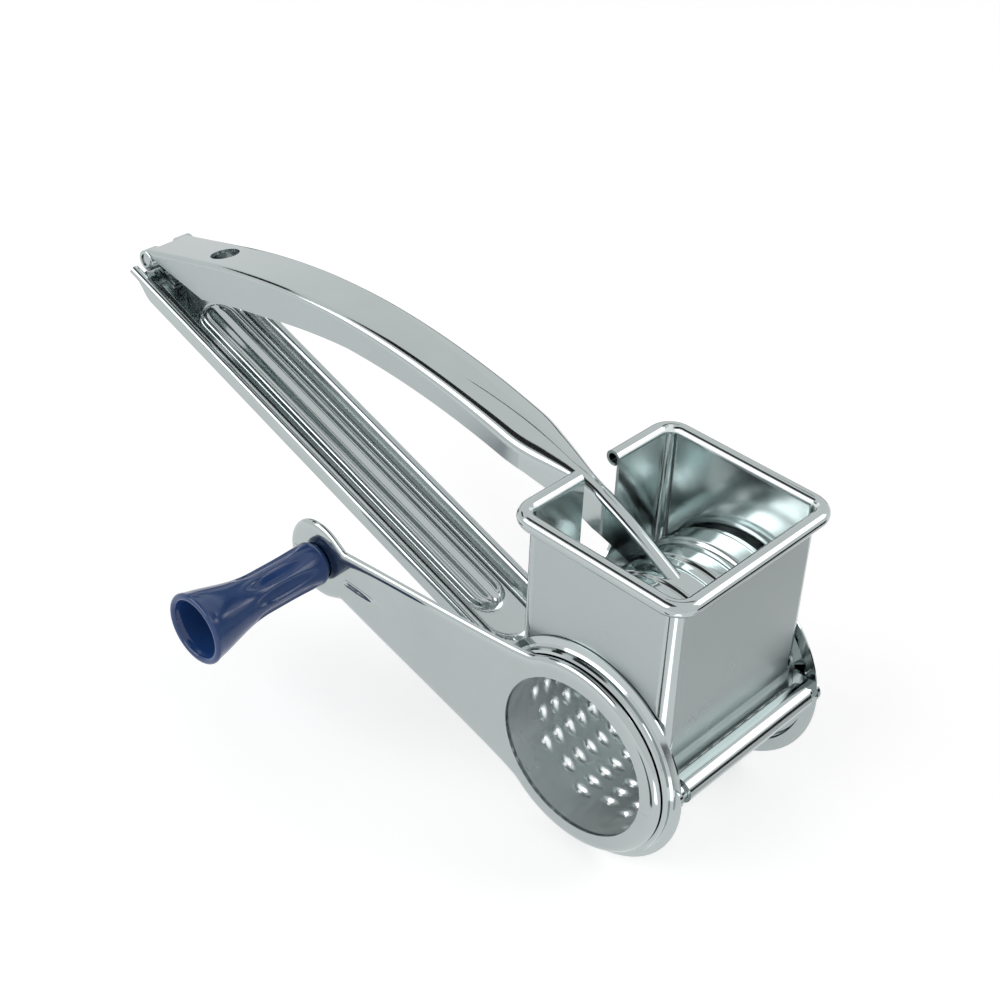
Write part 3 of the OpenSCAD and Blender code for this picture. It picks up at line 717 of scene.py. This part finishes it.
def base_tray():
    """Tray with folded skirts, a valley, a lip in front and a long rib."""
    length = (HINGE_X - BASE_X) / cosd(BASE_TILT)
    valley = length - LIP_L
    front = length - BASE_CORNER
    corner = front + BASE_CORNER * sind(np.linspace(0, 90, TRAY_ROUND))
    ys = np.linspace(-BASE_W + BASE_FOLD, BASE_W - BASE_FOLD, TRAY_ACROSS)
    rows = []
    for s in np.r_[np.arange(-1, front, TRAY_STEP), corner]:
        past = max(0.0, s - front)
        scale = 1 - (BASE_CORNER - math.sqrt(max(0.0, BASE_CORNER ** 2 - past ** 2))) / BASE_W
        skirt = SKIRT_H * mix(SKIRT_BACK, 1.0, float(smooth(*SKIRT_RISE, s)))
        side = np.vstack([[[-BASE_W, -skirt], [-BASE_W, -(skirt + BASE_FOLD) / 2]],
                          arc(-BASE_W + BASE_FOLD, -BASE_FOLD, BASE_FOLD, 180, FOLD_END, TRAY_ROUND)])
        middle = np.stack([ys, tray_height(s, ys, valley)], 1)
        path = np.vstack([side, middle, side[::-1] * [-1, 1]])
        rows.append(np.stack([np.full(len(path), s), path[:, 0] * scale, path[:, 1]], 1))
    flat = turn(np.array(rows).reshape(-1, 3), -BASE_TILT)
    piece = make("base_tray", flat + [-HINGE_X, 0, BASE_TOP], grid(rows))
    face_towards(piece, len(piece.data.polygons) // 2, (0, 0, 1))
    thicken(piece)
    shade(piece, SHEET_DEG)
    finish_edges(piece)
    dress(piece, "lower_arm")


def hinge_tongue():
    """Strip that lies on the tray's floor, bends up and rolls round the hinge's axis."""
    low = BASE_TOP - TRAY_H / cosd(BASE_TILT)
    path = np.vstack([[[x, low + z - x * BASE_SLOPE] for x, z in TONGUE_LAP],
                      arc(-KNUCKLE_R + SHEET + TONGUE_BEND, low + TONGUE_RISE, TONGUE_BEND, 262, 180, 6),
                      arc(0, HINGE_Z, KNUCKLE_R - SHEET, 180, -140, 40)])
    outline = sheet(path) + [-HINGE_X, 0]
    dress(prism("hinge_tongue", outline, -TONGUE_Y, TONGUE_Y, angle=SOFT_DEG), "lower_arm")


# Hopper

HOPPER_SHEET = SHEET * 0.8
HOPPER_EDGE_W = 0.1
CORNER_STEPS = 10
# The rim rolls from the wall, at 180 degrees, over the top and down to ROLL_END
ROLL_END = -118
ROLL_STEPS = 56
# Heights of the wall's section: its bottom before the cut, and two points by their distance under
# the middle of the rim
WALL_BOTTOM = 1.4
WALL_POINTS = (6, 1.5)
LIP_STEPS = 10
LIP_PAST = 0.3
# Room round the teeth inside the lip's bulge, and of the bore that the drum turns in
BULGE_GAP = 0.55
BORE_GAP = 0.5
SLOT_STEPS = 48
BORE_STEPS = 192
# Reach of the slot's cutter across the back wall, and of the cutters above the rim and below the walls
SLOT_REACH = (-12, 4)
ABOVE = 5
BELOW = 20
# The lip is the part of the front wall that hangs lower than the sides, past LIP_X
LIP_X = 18
# Room outside the walls within which a face that looks inwards belongs to the inside, and gets the lighter steel
# of painted bounce light
INSIDE_ROOM = 0.3


def rounded(l, w, r, n=CORNER_STEPS):
    """Rounded rectangle about the middle, as points and outward directions."""
    points, ways = [], []
    for cx, cy, a in ((l / 2 - r, w / 2 - r, 0), (-l / 2 + r, w / 2 - r, 90),
                      (-l / 2 + r, -w / 2 + r, 180), (l / 2 - r, -w / 2 + r, 270)):
        for t in np.linspace(a, a + 90, n + 1):
            points.append([cx + r * cosd(t), cy + r * sind(t)])
            ways.append([cosd(t), sind(t)])
    return np.array(points), np.array(ways)


def hopper_wall():
    """Walls with the rolled rim, and a front that bulges round the drum."""
    points, ways = rounded(HOPPER_L, HOPPER_W, CORNER_R)
    top = HOPPER_TOP - RIM_R
    roll = arc(RIM_R, top, RIM_R, 180, ROLL_END, ROLL_STEPS)
    lip = np.stack([np.zeros(LIP_STEPS), np.linspace(WALL_BOTTOM, LIP_TOP + LIP_PAST, LIP_STEPS)], 1)
    path = np.vstack([lip, [[0, top - z] for z in WALL_POINTS], roll])
    section = sheet(path, HOPPER_SHEET)
    front = HOPPER_L / 2 - HOPPER_BACK
    bulge = np.sqrt((DRUM_R + TOOTH_H + BULGE_GAP) ** 2 - np.minimum(section[:, 1], LIP_TOP) ** 2) - front
    rings = []
    for p, w in zip(points, ways):
        faces_front = w[0] > 0.999
        d = section[:, 0] + np.maximum(bulge, 0) * faces_front
        rings.append(np.stack([p[0] + w[0] * d - HOPPER_BACK, p[1] + w[1] * d, section[:, 1]], 1))
    return loft("hopper_box", rings, close=True)


def hopper_cutters():
    """Slot for the arm's neck, bore for the drum, and what lies under the walls' lower edge."""
    slot_z = HOPPER_TOP - SLOT_H + SLOT_W / 2
    hole = [[cosd(a) * SLOT_W / 2, sind(a) * SLOT_W / 2 + slot_z]
            for a in np.linspace(180, 360, SLOT_STEPS)]
    hole += [[SLOT_W / 2, HOPPER_TOP + ABOVE], [-SLOT_W / 2, HOPPER_TOP + ABOVE]]
    slot = loft("slot", [[[-HOPPER_L / 2 + x, y, z] for y, z in hole] for x in SLOT_REACH])
    bore = rod("bore", DRUM_R + TOOTH_H + BORE_GAP, -PAST, PAST, n=BORE_STEPS)
    edge = [[-PAST, WALL_LOW - BELOW], [PAST, WALL_LOW - BELOW], [PAST, LIP_LOW],
            [LIP_X, LIP_LOW], [LIP_X, WALL_LOW], [-PAST, WALL_LOW]]
    return slot, bore, prism("under", edge, -PAST, PAST)


def hopper():
    """Box cut from its walls, with a lighter copy of the steel on its inner faces as painted bounce light, and the
    satin finish on its flat outer faces.
    """
    box = hopper_wall()
    cut(box, *hopper_cutters())
    shade(box, SOFT_DEG)
    finish_edges(box, width=HOPPER_EDGE_W)
    dress(box, "hopper")
    box.data.materials.append(INSIDE_PAINTED_LIGHT)
    box.data.materials.append(SATIN)
    middle = (Vector(DRUM) - Vector((HOPPER_BACK, 0, 0))) * MM
    half_l, half_w = (HOPPER_L / 2 + INSIDE_ROOM) * MM, (HOPPER_W / 2 + INSIDE_ROOM) * MM
    # Inward faces within the walls take the lighter steel: painted light for the light bounced between the walls
    for face in box.data.polygons:
        out, way = face.center - middle, face.normal
        within = abs(out.x) < half_l and abs(out.y) < half_w
        if within and way.x * out.x + way.y * out.y < 0:
            face.material_index = 1
        elif max(abs(way.x), abs(way.y)) > WALL_FLAT and face.area > SATIN_LEAST * MM * MM:
            face.material_index = 2


# Drum

# Points of a tile's border along the drum and round it
ALONG_N, ROUND_N = 8, 10
# Half lengths of a tooth's base and of its hole, round the drum and along it
TOOTH_LONG, TOOTH_WIDE = 3.0, 1.7
HOLE_LONG, HOLE_WIDE = 0.55, 0.5
# Taper of a tooth towards one end, round the drum, and how far its hole lies towards the other
TOOTH_TAPER = 0.35
HOLE_LOW = 0.55
FLAT_RINGS = 4
TOOTH_RINGS = 8
# Shift of a row either way as a share of the pitch
ROW_SHIFT = 0.25
TILE_WELD = 0.02


def tile_border():
    """Points round a tile of side 1, evenly spaced along each side."""
    corners = ((-0.5, -0.5), (0.5, -0.5), (0.5, 0.5), (-0.5, 0.5))
    points = []
    for k, (x, y) in enumerate(corners):
        u, v = corners[(k + 1) % 4]
        n = ROUND_N if k % 2 else ALONG_N
        points += [[x + (u - x) * i / n, y + (v - y) * i / n] for i in range(n)]
    return np.array(points)


def tooth_rings(tile_a):
    """Rings of a tile, each with its height: from its border over the flat and up the pressed tooth."""
    flat = tile_border() * [TOOTH_PITCH, math.radians(tile_a) * DRUM_R]
    angle = np.arctan2(flat[:, 1], flat[:, 0])
    drop = np.stack([np.cos(angle), np.sin(angle)], 1)
    outer = drop * [TOOTH_WIDE, TOOTH_LONG]
    outer[:, 0] *= np.where(outer[:, 1] > 0, 1 - TOOTH_TAPER * (outer[:, 1] / TOOTH_LONG) ** 2, 1.0)
    inner = drop * [HOLE_WIDE, HOLE_LONG] - [0, HOLE_LOW]
    rings = [(mix(flat, outer, share), 0.0) for share in np.linspace(0, 1, FLAT_RINGS)]
    for share in np.linspace(0, 1, TOOTH_RINGS)[1:]:
        rings.append((mix(outer, inner, share), TOOTH_H * float(smooth(0.0, 0.95, share))))
    return rings


def drum_shell():
    """Shell of tooth tiles. Each tile has a rectangle as its border and rings round a pressed tooth."""
    tile_a = 360 / TOOTH_ROWS
    rings = tooth_rings(tile_a)
    verts, faces = [], []

    def put(y, a, r):
        verts.append([r * cosd(a), y, r * sind(a)])

    def patch(y0, y1, a0, a1):
        """Plain strip with the border spacing of the tiles."""
        m = max(1, int(round((y1 - y0) / (TOOTH_PITCH / ALONG_N))))
        start = len(verts)
        for i in range(m + 1):
            for j in range(ROUND_N + 1):
                put(mix(y0, y1, i / m), mix(a0, a1, j / ROUND_N), DRUM_R)
        faces.extend(grid([[0] * (ROUND_N + 1)] * (m + 1), start=start))

    near, far = -FACE_Y + SHEET + SEAM, DRUM_FAR
    for row in range(TOOTH_ROWS):
        shift = ROW_SHIFT if row % 2 == 0 else -ROW_SHIFT
        a_mid = row * tile_a
        for j in range(TEETH):
            y_mid = (j - (TEETH - 1) / 2 + shift) * TOOTH_PITCH
            start = len(verts)
            for points, lift in rings:
                for p in points:
                    put(y_mid + p[0], a_mid + math.degrees(p[1] / DRUM_R), DRUM_R + lift)
            faces.extend(grid([points for points, lift in rings], closed=True, start=start))
        y0 = (-TEETH / 2 + shift) * TOOTH_PITCH
        y1 = (TEETH / 2 + shift) * TOOTH_PITCH
        patch(near, y0, a_mid - tile_a / 2, a_mid + tile_a / 2)
        patch(y1, far, a_mid - tile_a / 2, a_mid + tile_a / 2)
    shell = make("grating_drum", verts, faces, merge=TILE_WELD)
    out = shell.data.polygons[0].center - Vector(DRUM) * MM
    face_towards(shell, 0, (out.x, 0, out.z))
    thicken(shell, DRUM_R - DRUM_IN)
    shade(shell, SHEET_DEG)
    dress(shell, "drum_shell")


# Crank

# Outline: degrees at which the ring and the small end meet the long edge, the pull of the edge's curve at
# both, its waist's distance from the pin, and the width of the fold
RING_JOIN = 55
END_JOIN = 62
RING_PULL = 5
END_PULL = 4
WAIST_BACK = 35.2
FOLD_W = 2.4
# Mesh: rows across the plate and round the fold, steps of the mouth, the middle line and the pin
# hole, and of the outline's ring, long edge and small end
PLATE_ROWS = 33
FOLD_ROWS = 10
MOUTH_STEPS, LINE_STEPS, PIN_STEPS = 110, 180, 30
RING_STEPS, EDGE_POINTS, END_STEPS = 90, 60, 40
# The mouth's rows reach the outline up to MOUTH_TO_X, the pin hole's from PIN_FROM points before
# the small end. PLATE_FACE is one of the faces of the plate
MOUTH_TO_X = 34.0
PIN_FROM = 4
PLATE_FACE = 30
PLATE_WELD = 0.01
# Raised panel, as corners along the crank and across it, and the groove from its faint end to its
# deep one
PANEL = [(26.5, 12.0), (CRANK_L - 14.0, 0.6), (CRANK_L - 11.5, -7.0), (31.0, -14.4)]
PANEL_H = 0.1
PANEL_EDGE = 1.0
PANEL_CORNER = 1.2
GROOVE = ((CRANK_L - 24.0, 1.0), (CRANK_L - 10.8, -0.2))
GROOVE_R = 1.3
GROOVE_DEPTH = 0.65
GROOVE_FADE = (-0.1, 0.7)


def bezier(a, b, c, d, n):
    """Points of a cubic curve from a to d."""
    t = np.linspace(0, 1, n + 1)[:, None]
    s = 1 - t
    return s ** 3 * a + 3 * s * s * t * b + 3 * s * t * t * c + t ** 3 * d


def crank_edge_path():
    """Upper half of the outline from the front of the ring to the tip of the small end."""
    a = RING_R * np.array([cosd(RING_JOIN), sind(RING_JOIN)])
    d = np.array([CRANK_L - END_R * cosd(END_JOIN), END_R * sind(END_JOIN)])
    ta = np.array([sind(RING_JOIN), -cosd(RING_JOIN)])
    td = np.array([sind(END_JOIN), cosd(END_JOIN)])
    waist = np.array([CRANK_L - WAIST_BACK, CRANK_W])
    line = bezier(a, a + RING_PULL * ta, waist, d - END_PULL * td, EDGE_POINTS)
    ring = arc(0, 0, RING_R, 180, RING_JOIN, RING_STEPS)
    return ring, line, arc(CRANK_L, 0, END_R, 180 - END_JOIN, 0, END_STEPS)


def inside_polygon(u, v, corners, r):
    """Distance inside a convex clockwise outline, softened round its corners."""
    d = np.full(np.shape(u), 1e9)
    for i, a in enumerate(corners):
        b = corners[(i + 1) % len(corners)]
        e = (np.array(b) - a) / np.linalg.norm(np.array(b) - a)
        side = (u - a[0]) * e[1] - (v - a[1]) * e[0]
        d = -r * np.log(np.exp(-np.clip(d, -60, 60) / r) + np.exp(-np.clip(side, -60, 60) / r))
    return d


def crank_relief(u, v):
    """Depth of the pressed forms on the crank's face, away from the viewer."""
    panel = PANEL_H * smooth(-PANEL_EDGE, PANEL_EDGE, inside_polygon(u, v, PANEL, PANEL_CORNER))
    (u0, v0), (u1, v1) = GROOVE
    t = np.clip(((u - u0) * (u1 - u0) + (v - v0) * (v1 - v0)) / ((u1 - u0) ** 2 + (v1 - v0) ** 2), 0, 1)
    d = np.hypot(u - mix(u0, u1, t), v - mix(v0, v1, t))
    return -panel + GROOVE_DEPTH * smooth(GROOVE_R, 0.1, d) * smooth(*GROOVE_FADE, t)


def crank():
    """Plate between a spine of mouth, middle line and pin hole, and the outline with its fold."""
    ring, line, end = crank_edge_path()
    whole = np.vstack([ring, line, end])
    inwards = normals(whole)
    length = np.r_[0, np.cumsum(np.linalg.norm(np.diff(whole, axis=0), axis=1))]
    mouth = arc(0, 0, DRUM_IN, 180, 0, MOUTH_STEPS)
    middle = np.stack([np.linspace(DRUM_IN, CRANK_L - PIN_R, LINE_STEPS)[1:], np.zeros(LINE_STEPS - 1)], 1)
    hole = arc(CRANK_L, 0, PIN_R, 180, 0, PIN_STEPS)[1:]
    spine = np.vstack([mouth, middle, hole])
    from_mouth = np.interp(MOUTH_TO_X, line[:, 0], length[len(ring):len(ring) + len(line)])
    from_hole = length[len(ring) + len(line) - PIN_FROM]
    t = np.r_[np.linspace(0, from_mouth, len(mouth)), np.linspace(from_mouth, from_hole, len(middle) + 1)[1:],
              np.linspace(from_hole, length[-1], len(hole) + 1)[1:]]
    edge = np.stack([np.interp(t, length, whole[:, k]) for k in (0, 1)], 1)
    way = np.stack([np.interp(t, length, inwards[:, k]) for k in (0, 1)], 1)
    way /= np.linalg.norm(way, axis=1)[:, None]
    rows = []
    for k in np.linspace(0, 1, PLATE_ROWS):
        p = mix(spine, edge + way * FOLD_W, k)
        rows.append(np.stack([p[:, 0], -FACE_Y + crank_relief(p[:, 0], p[:, 1]), p[:, 1]], 1))
    for a in np.linspace(0, 90, FOLD_ROWS)[1:]:
        p = edge + way * FOLD_W * (1 - sind(a))
        rows.append(np.stack([p[:, 0], np.full(len(p), -FACE_Y + CRANK_EDGE * (1 - cosd(a))), p[:, 1]], 1))
    up = np.array(rows)
    down = up * [1, 1, -1]
    plate = down[:PLATE_ROWS]
    plate[:, :, 1] = -FACE_Y + crank_relief(plate[:, :, 0], plate[:, :, 2])
    verts = np.vstack([up.reshape(-1, 3), down.reshape(-1, 3)]) * [-1, 1, 1]
    faces = grid(up) + grid(down, start=up.shape[0] * up.shape[1])
    piece = make("crank_plate", turn(verts, -CRANK_DEG), faces, merge=PLATE_WELD)
    face_towards(piece, PLATE_FACE, (0, -1, 0))
    thicken(piece)
    shade(piece, SHEET_DEG)
    finish_edges(piece)
    dress(piece, "crank")


# Knob

# Room between the crank and the knob, thickness of its floor and walls, radius of a ring of the mesh
# on its foot, and points of a ring
KNOB_GAP = 0.3
KNOB_FLOOR = 5.0
KNOB_WALL = 1.6
FOOT_RING_R = 3.2
KNOB_POINTS = 160
# Flare of the outside: where it begins and ends as shares of the length, and its power. The foot
# swells over FOOT_L, and its edge is rounded. RIM_LIP is the radius of the rolled lip
FLARE = (0.45, 1.05)
FLARE_POWER = 1.2
FOOT_SWELL = 0.06
FOOT_L = 0.3
FOOT_ROUND = 0.9
RIM_LIP = 0.95
RIM_STEPS = 13
# Stations of the outside and of the hollow as shares of the length, and how far inside the lip
# the hollow begins, across and along
KNOB_T = np.r_[np.linspace(0, 0.06, 8), np.linspace(0.08, 0.94, 60)]
HOLLOW_L = 0.45
HOLLOW_T = np.linspace(0.02, HOLLOW_L, 20)
MOUTH_IN = (0.4, 0.5)
# Long oval flutes: one in every FLUTE_PITCH degrees, with its half sizes, its middle and its depth
FLUTE_PITCH = 45
FLUTE_DEG = 19.0
FLUTE_MIDDLE = 0.36
FLUTE_HALF = 0.27
FLUTE_H = 0.55


def knob():
    """Hollow flared grip with a rolled lip, from the crank's face to its open tip."""
    base_y = -FACE_Y - KNOB_GAP

    def radius(t):
        flare = mix(KNOB_WAIST, KNOB_R, smooth(*FLARE, t) ** FLARE_POWER)
        r = flare * (1 + FOOT_SWELL * (1 - smooth(0, FOOT_L, t)))
        return r - FOOT_ROUND * (1 - smooth(0, 0.05, t)) ** 2

    rings = []
    turns = np.arange(0, 360, 360 / KNOB_POINTS)

    def ring(r, y, t=-1.0):
        """Circle, with long oval flutes in the grip's outside where t is within their length."""
        across = ((turns % FLUTE_PITCH) - FLUTE_PITCH / 2) / FLUTE_DEG
        oval = 1 - across ** 2 - ((t - FLUTE_MIDDLE) / FLUTE_HALF) ** 2
        q = r - FLUTE_H * smooth(-0.05, 0.5, oval)
        return np.stack([q * cosd(turns), np.full(KNOB_POINTS, y), q * sind(turns)], 1)

    bore = KNOB_WAIST - KNOB_WALL
    floor_y = base_y - KNOB_FLOOR
    mouth = KNOB_R - KNOB_WALL
    tip = base_y - KNOB_L
    for r in (PIN_R + RUN_GAP, FOOT_RING_R):
        rings.append(ring(r, base_y))
    for t in KNOB_T:
        rings.append(ring(float(radius(t)), base_y - KNOB_L * t, t))
    rim_mid = KNOB_R - RIM_LIP
    for a in np.linspace(0, 180, RIM_STEPS):
        rings.append(ring(float(rim_mid + RIM_LIP * cosd(a)), tip + RIM_LIP - RIM_LIP * sind(a)))
    for t in HOLLOW_T:
        r = float(mix(mouth - MOUTH_IN[0], bore, t / HOLLOW_L))
        rings.append(ring(r, tip + KNOB_L * t + MOUTH_IN[1]))
    rings.append(ring(bore, floor_y))
    rings.append(ring(PIN_R + RUN_GAP, floor_y))
    rings = [r + [KNOB[0], 0, KNOB[2]] for r in rings]
    piece = loft("knob_grip", rings, angle=45, close=True)
    finish_edges(piece, width=0)
    dress(piece, "knob")


# Stage: floor, lights and camera

# Camera of the photograph, fitted in units of U millimetres round the middle of the hopper's rim,
# which is at TO_ROW in the frame of the nodes
U = 0.85
TO_ROW = np.array([156.19, 0, 1.27])
CAM_AZ, CAM_EL, CAM_ROLL = 42.7, 36.3, 2.52
CAM_DIST, CAM_TX, CAM_TZ = 465.0, -45.3, 1.5
CAM_LENS = 64.8


def camera():
    """Camera at the angle, distance and lens that fit the photograph."""
    back = np.array([sind(CAM_AZ) * cosd(CAM_EL), -cosd(CAM_AZ) * cosd(CAM_EL), sind(CAM_EL)])
    right = np.cross(-back, [0, 0, 1])
    right /= np.linalg.norm(right)
    up = np.cross(right, -back)
    r = cosd(CAM_ROLL) * right + sind(CAM_ROLL) * up
    u = -sind(CAM_ROLL) * right + cosd(CAM_ROLL) * up
    pos = (back * CAM_DIST + CAM_TX * r + CAM_TZ * u) * U + TO_ROW
    data = bpy.data.cameras.new("camera")
    data.sensor_width = 36
    data.lens = CAM_LENS
    data.clip_start = 0.01
    cam = bpy.data.objects.new("camera", data)
    bpy.context.scene.collection.objects.link(cam)
    m = Matrix(((r[0], u[0], back[0], pos[0] * MM), (r[1], u[1], back[1], pos[1] * MM),
                (r[2], u[2], back[2], pos[2] * MM), (0, 0, 0, 1)))
    cam.matrix_world = m
    bpy.context.scene.camera = cam


def facing(piece, middle, way, distance):
    """Puts a lamp or a card in a direction from the object, turned towards it."""
    place = Vector(middle) + Vector(way).normalized() * distance
    piece.location = place
    piece.rotation_euler = (Vector(middle) - place).to_track_quat("-Z", "Y").to_euler()


def softbox(name, middle, way, size, glow):
    """Area lamp whose face shows the brightness glow in polished metal."""
    data = bpy.data.lights.new(name, "AREA")
    data.shape = "RECTANGLE"
    data.size, data.size_y = size
    data.energy = glow * math.pi * size[0] * size[1]
    lamp = bpy.data.objects.new(name, data)
    bpy.context.scene.collection.objects.link(lamp)
    facing(lamp, middle, way, FAR)


def hidden_card(name, corners, **values):
    """Card that only reflections see, with a material of the given values."""
    mesh = bpy.data.meshes.new(name)
    mesh.from_pydata(corners, [], [[0, 1, 2, 3]])
    card = link(name, mesh)
    m, _, shader = nodes_of(name)
    for k, v in {"Base_Color": CARD_BLACK, **values}.items():
        shader.inputs[k.replace("_", " ")].default_value = v
    mesh.materials.append(m)
    card.visible_camera = card.visible_diffuse = card.visible_shadow = card.visible_transmission = False
    return card


def flag(name, middle, way, size, distance):
    """Dark card that only reflections see, for the dark lines beside the highlights."""
    x, y = size[0] / 2, size[1] / 2
    card = hidden_card(name, [[-x, -y, 0], [x, -y, 0], [x, y, 0], [-x, y, 0]], Roughness=MATT)
    facing(card, middle, way, distance)
    card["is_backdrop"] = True


def floor_strip(name, floor_z, a, b, width, glow):
    """Strip on the floor that only reflections see, from a to b in millimetres from the drum axis."""
    a, b = np.array(a, float), np.array(b, float)
    side = np.array([a[1] - b[1], b[0] - a[0]])
    side *= width / 2 / np.linalg.norm(side)
    corners = [[*((p + DRUM[:2]) * MM), floor_z] for p in (a - side, b - side, b + side, a + side)]
    hidden_card(name, corners, Emission_Color=WHITE, Emission_Strength=glow)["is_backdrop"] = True


def white_seen(tree, lit):
    """Share of light paths that see the background as plain white: camera, glossy and transmission rays."""
    path = add(tree, "ShaderNodeLightPath")
    rays = path.outputs["Is Camera Ray"]
    for kind in ("Is Glossy Ray", "Is Transmission Ray"):
        both = add(tree, "ShaderNodeMath", operation="MAXIMUM")
        tree.links.new(rays, both.inputs[0])
        tree.links.new(path.outputs[kind], both.inputs[1])
        rays = both.outputs[0]
    return ramp(tree, rays, lit, 1.0)


# Distance of lamps and cards, and of the card near the hopper's lip, in metres
FAR = 0.9
NEAR = 0.15
# Floor: half its size and its depth under the object in metres, its grey and its own light
FLOOR_HALF = 6.0
FLOOR_UNDER = 0.0004
FLOOR_GREY = (0.65, 0.65, 0.65, 1)
FLOOR_GLOW = 0.5
# Background light for diffuse surfaces, as a share of the white that is seen
WORLD_LIT = 0.55
# Lamps: direction from the object, size in metres and brightness
BOXES = (("left box", (-0.3, -0.74, 0.6), (1.0, 0.4), 3.0),
         ("right box", (0.59, 0.59, 0.55), (0.5, 0.5), 2.5))
# Dark cards: direction from the object or from the hopper's lip, size in metres and distance
FLAGS = (("upper flag", (-0.15, -0.28, 0.93), (1.1, 0.32), FAR),
         ("rib flag", (-0.07, 0.47, 0.88), (0.5, 0.11), FAR),
         ("left flag", (-0.82, -0.08, 0.53), (0.36, 0.2), FAR),
         ("low flag", (0.79, 0.59, -0.16), (0.13, 0.08), NEAR),
         ("back flag", (-0.5, 0.86, 0.05), (0.9, 0.12), FAR))
# Floor strips: ends and width in millimetres, and brightness
STRIPS = (("corner strip", (56, -57), (118, -115), 34, 2.6),
          ("corner shadow", (22, -62), (14, -128), 14, 0.0),
          ("front shade", (48, 60), (112, 60), 110, 0.62))


def floor_under(middle, z):
    """Light grey floor that glows a little."""
    mesh = bpy.data.meshes.new("floor")
    corners = [[middle.x + i * FLOOR_HALF, middle.y + j * FLOOR_HALF, z]
               for i, j in ((-1, -1), (1, -1), (1, 1), (-1, 1))]
    mesh.from_pydata(corners, [], [[0, 1, 2, 3]])
    floor = link("floor", mesh)
    m, _, shader = nodes_of("floor paper")
    shader.inputs["Base Color"].default_value = FLOOR_GREY
    shader.inputs["Roughness"].default_value = MATT
    shader.inputs["Specular IOR Level"].default_value = 0.1
    shader.inputs["Emission Color"].default_value = WHITE
    shader.inputs["Emission Strength"].default_value = FLOOR_GLOW
    mesh.materials.append(m)
    floor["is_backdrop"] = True


def stage():
    """Floor, white surroundings, two lamps and the cards that the steel mirrors."""
    low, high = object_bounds()
    middle = (Vector(low) + Vector(high)) / 2
    floor_under(middle, low[2] - FLOOR_UNDER)
    world = bpy.data.worlds.new("studio")
    bpy.context.scene.world = world
    world.use_nodes = True
    tree = world.node_tree
    back = tree.nodes["Background"]
    back.inputs["Color"].default_value = WHITE
    tree.links.new(white_seen(tree, WORLD_LIT), back.inputs["Strength"])
    for name, way, size, glow in BOXES:
        softbox(name, middle, way, size, glow)
    lip = (DRUM + [HOPPER_L / 2, 0, LIP_TOP]) * MM
    for name, way, size, distance in FLAGS:
        flag(name, lip if distance == NEAR else middle, way, size, distance)
    for name, a, b, width, glow in STRIPS:
        floor_strip(name, low[2], a, b, width, glow)


camera()
upper_arm()
knuckles()
presser_pad()
base_tray()
hinge_tongue()
hopper()
drum_shell()
crank()
knob()
for name, node in frame["nodes"].items():
    node.data.materials.clear()
    node.data.materials.append(LOOK_OF[name])
    shade(node, NODE_DEG)
stage()
bpy.context.scene.view_settings.view_transform = "Standard"
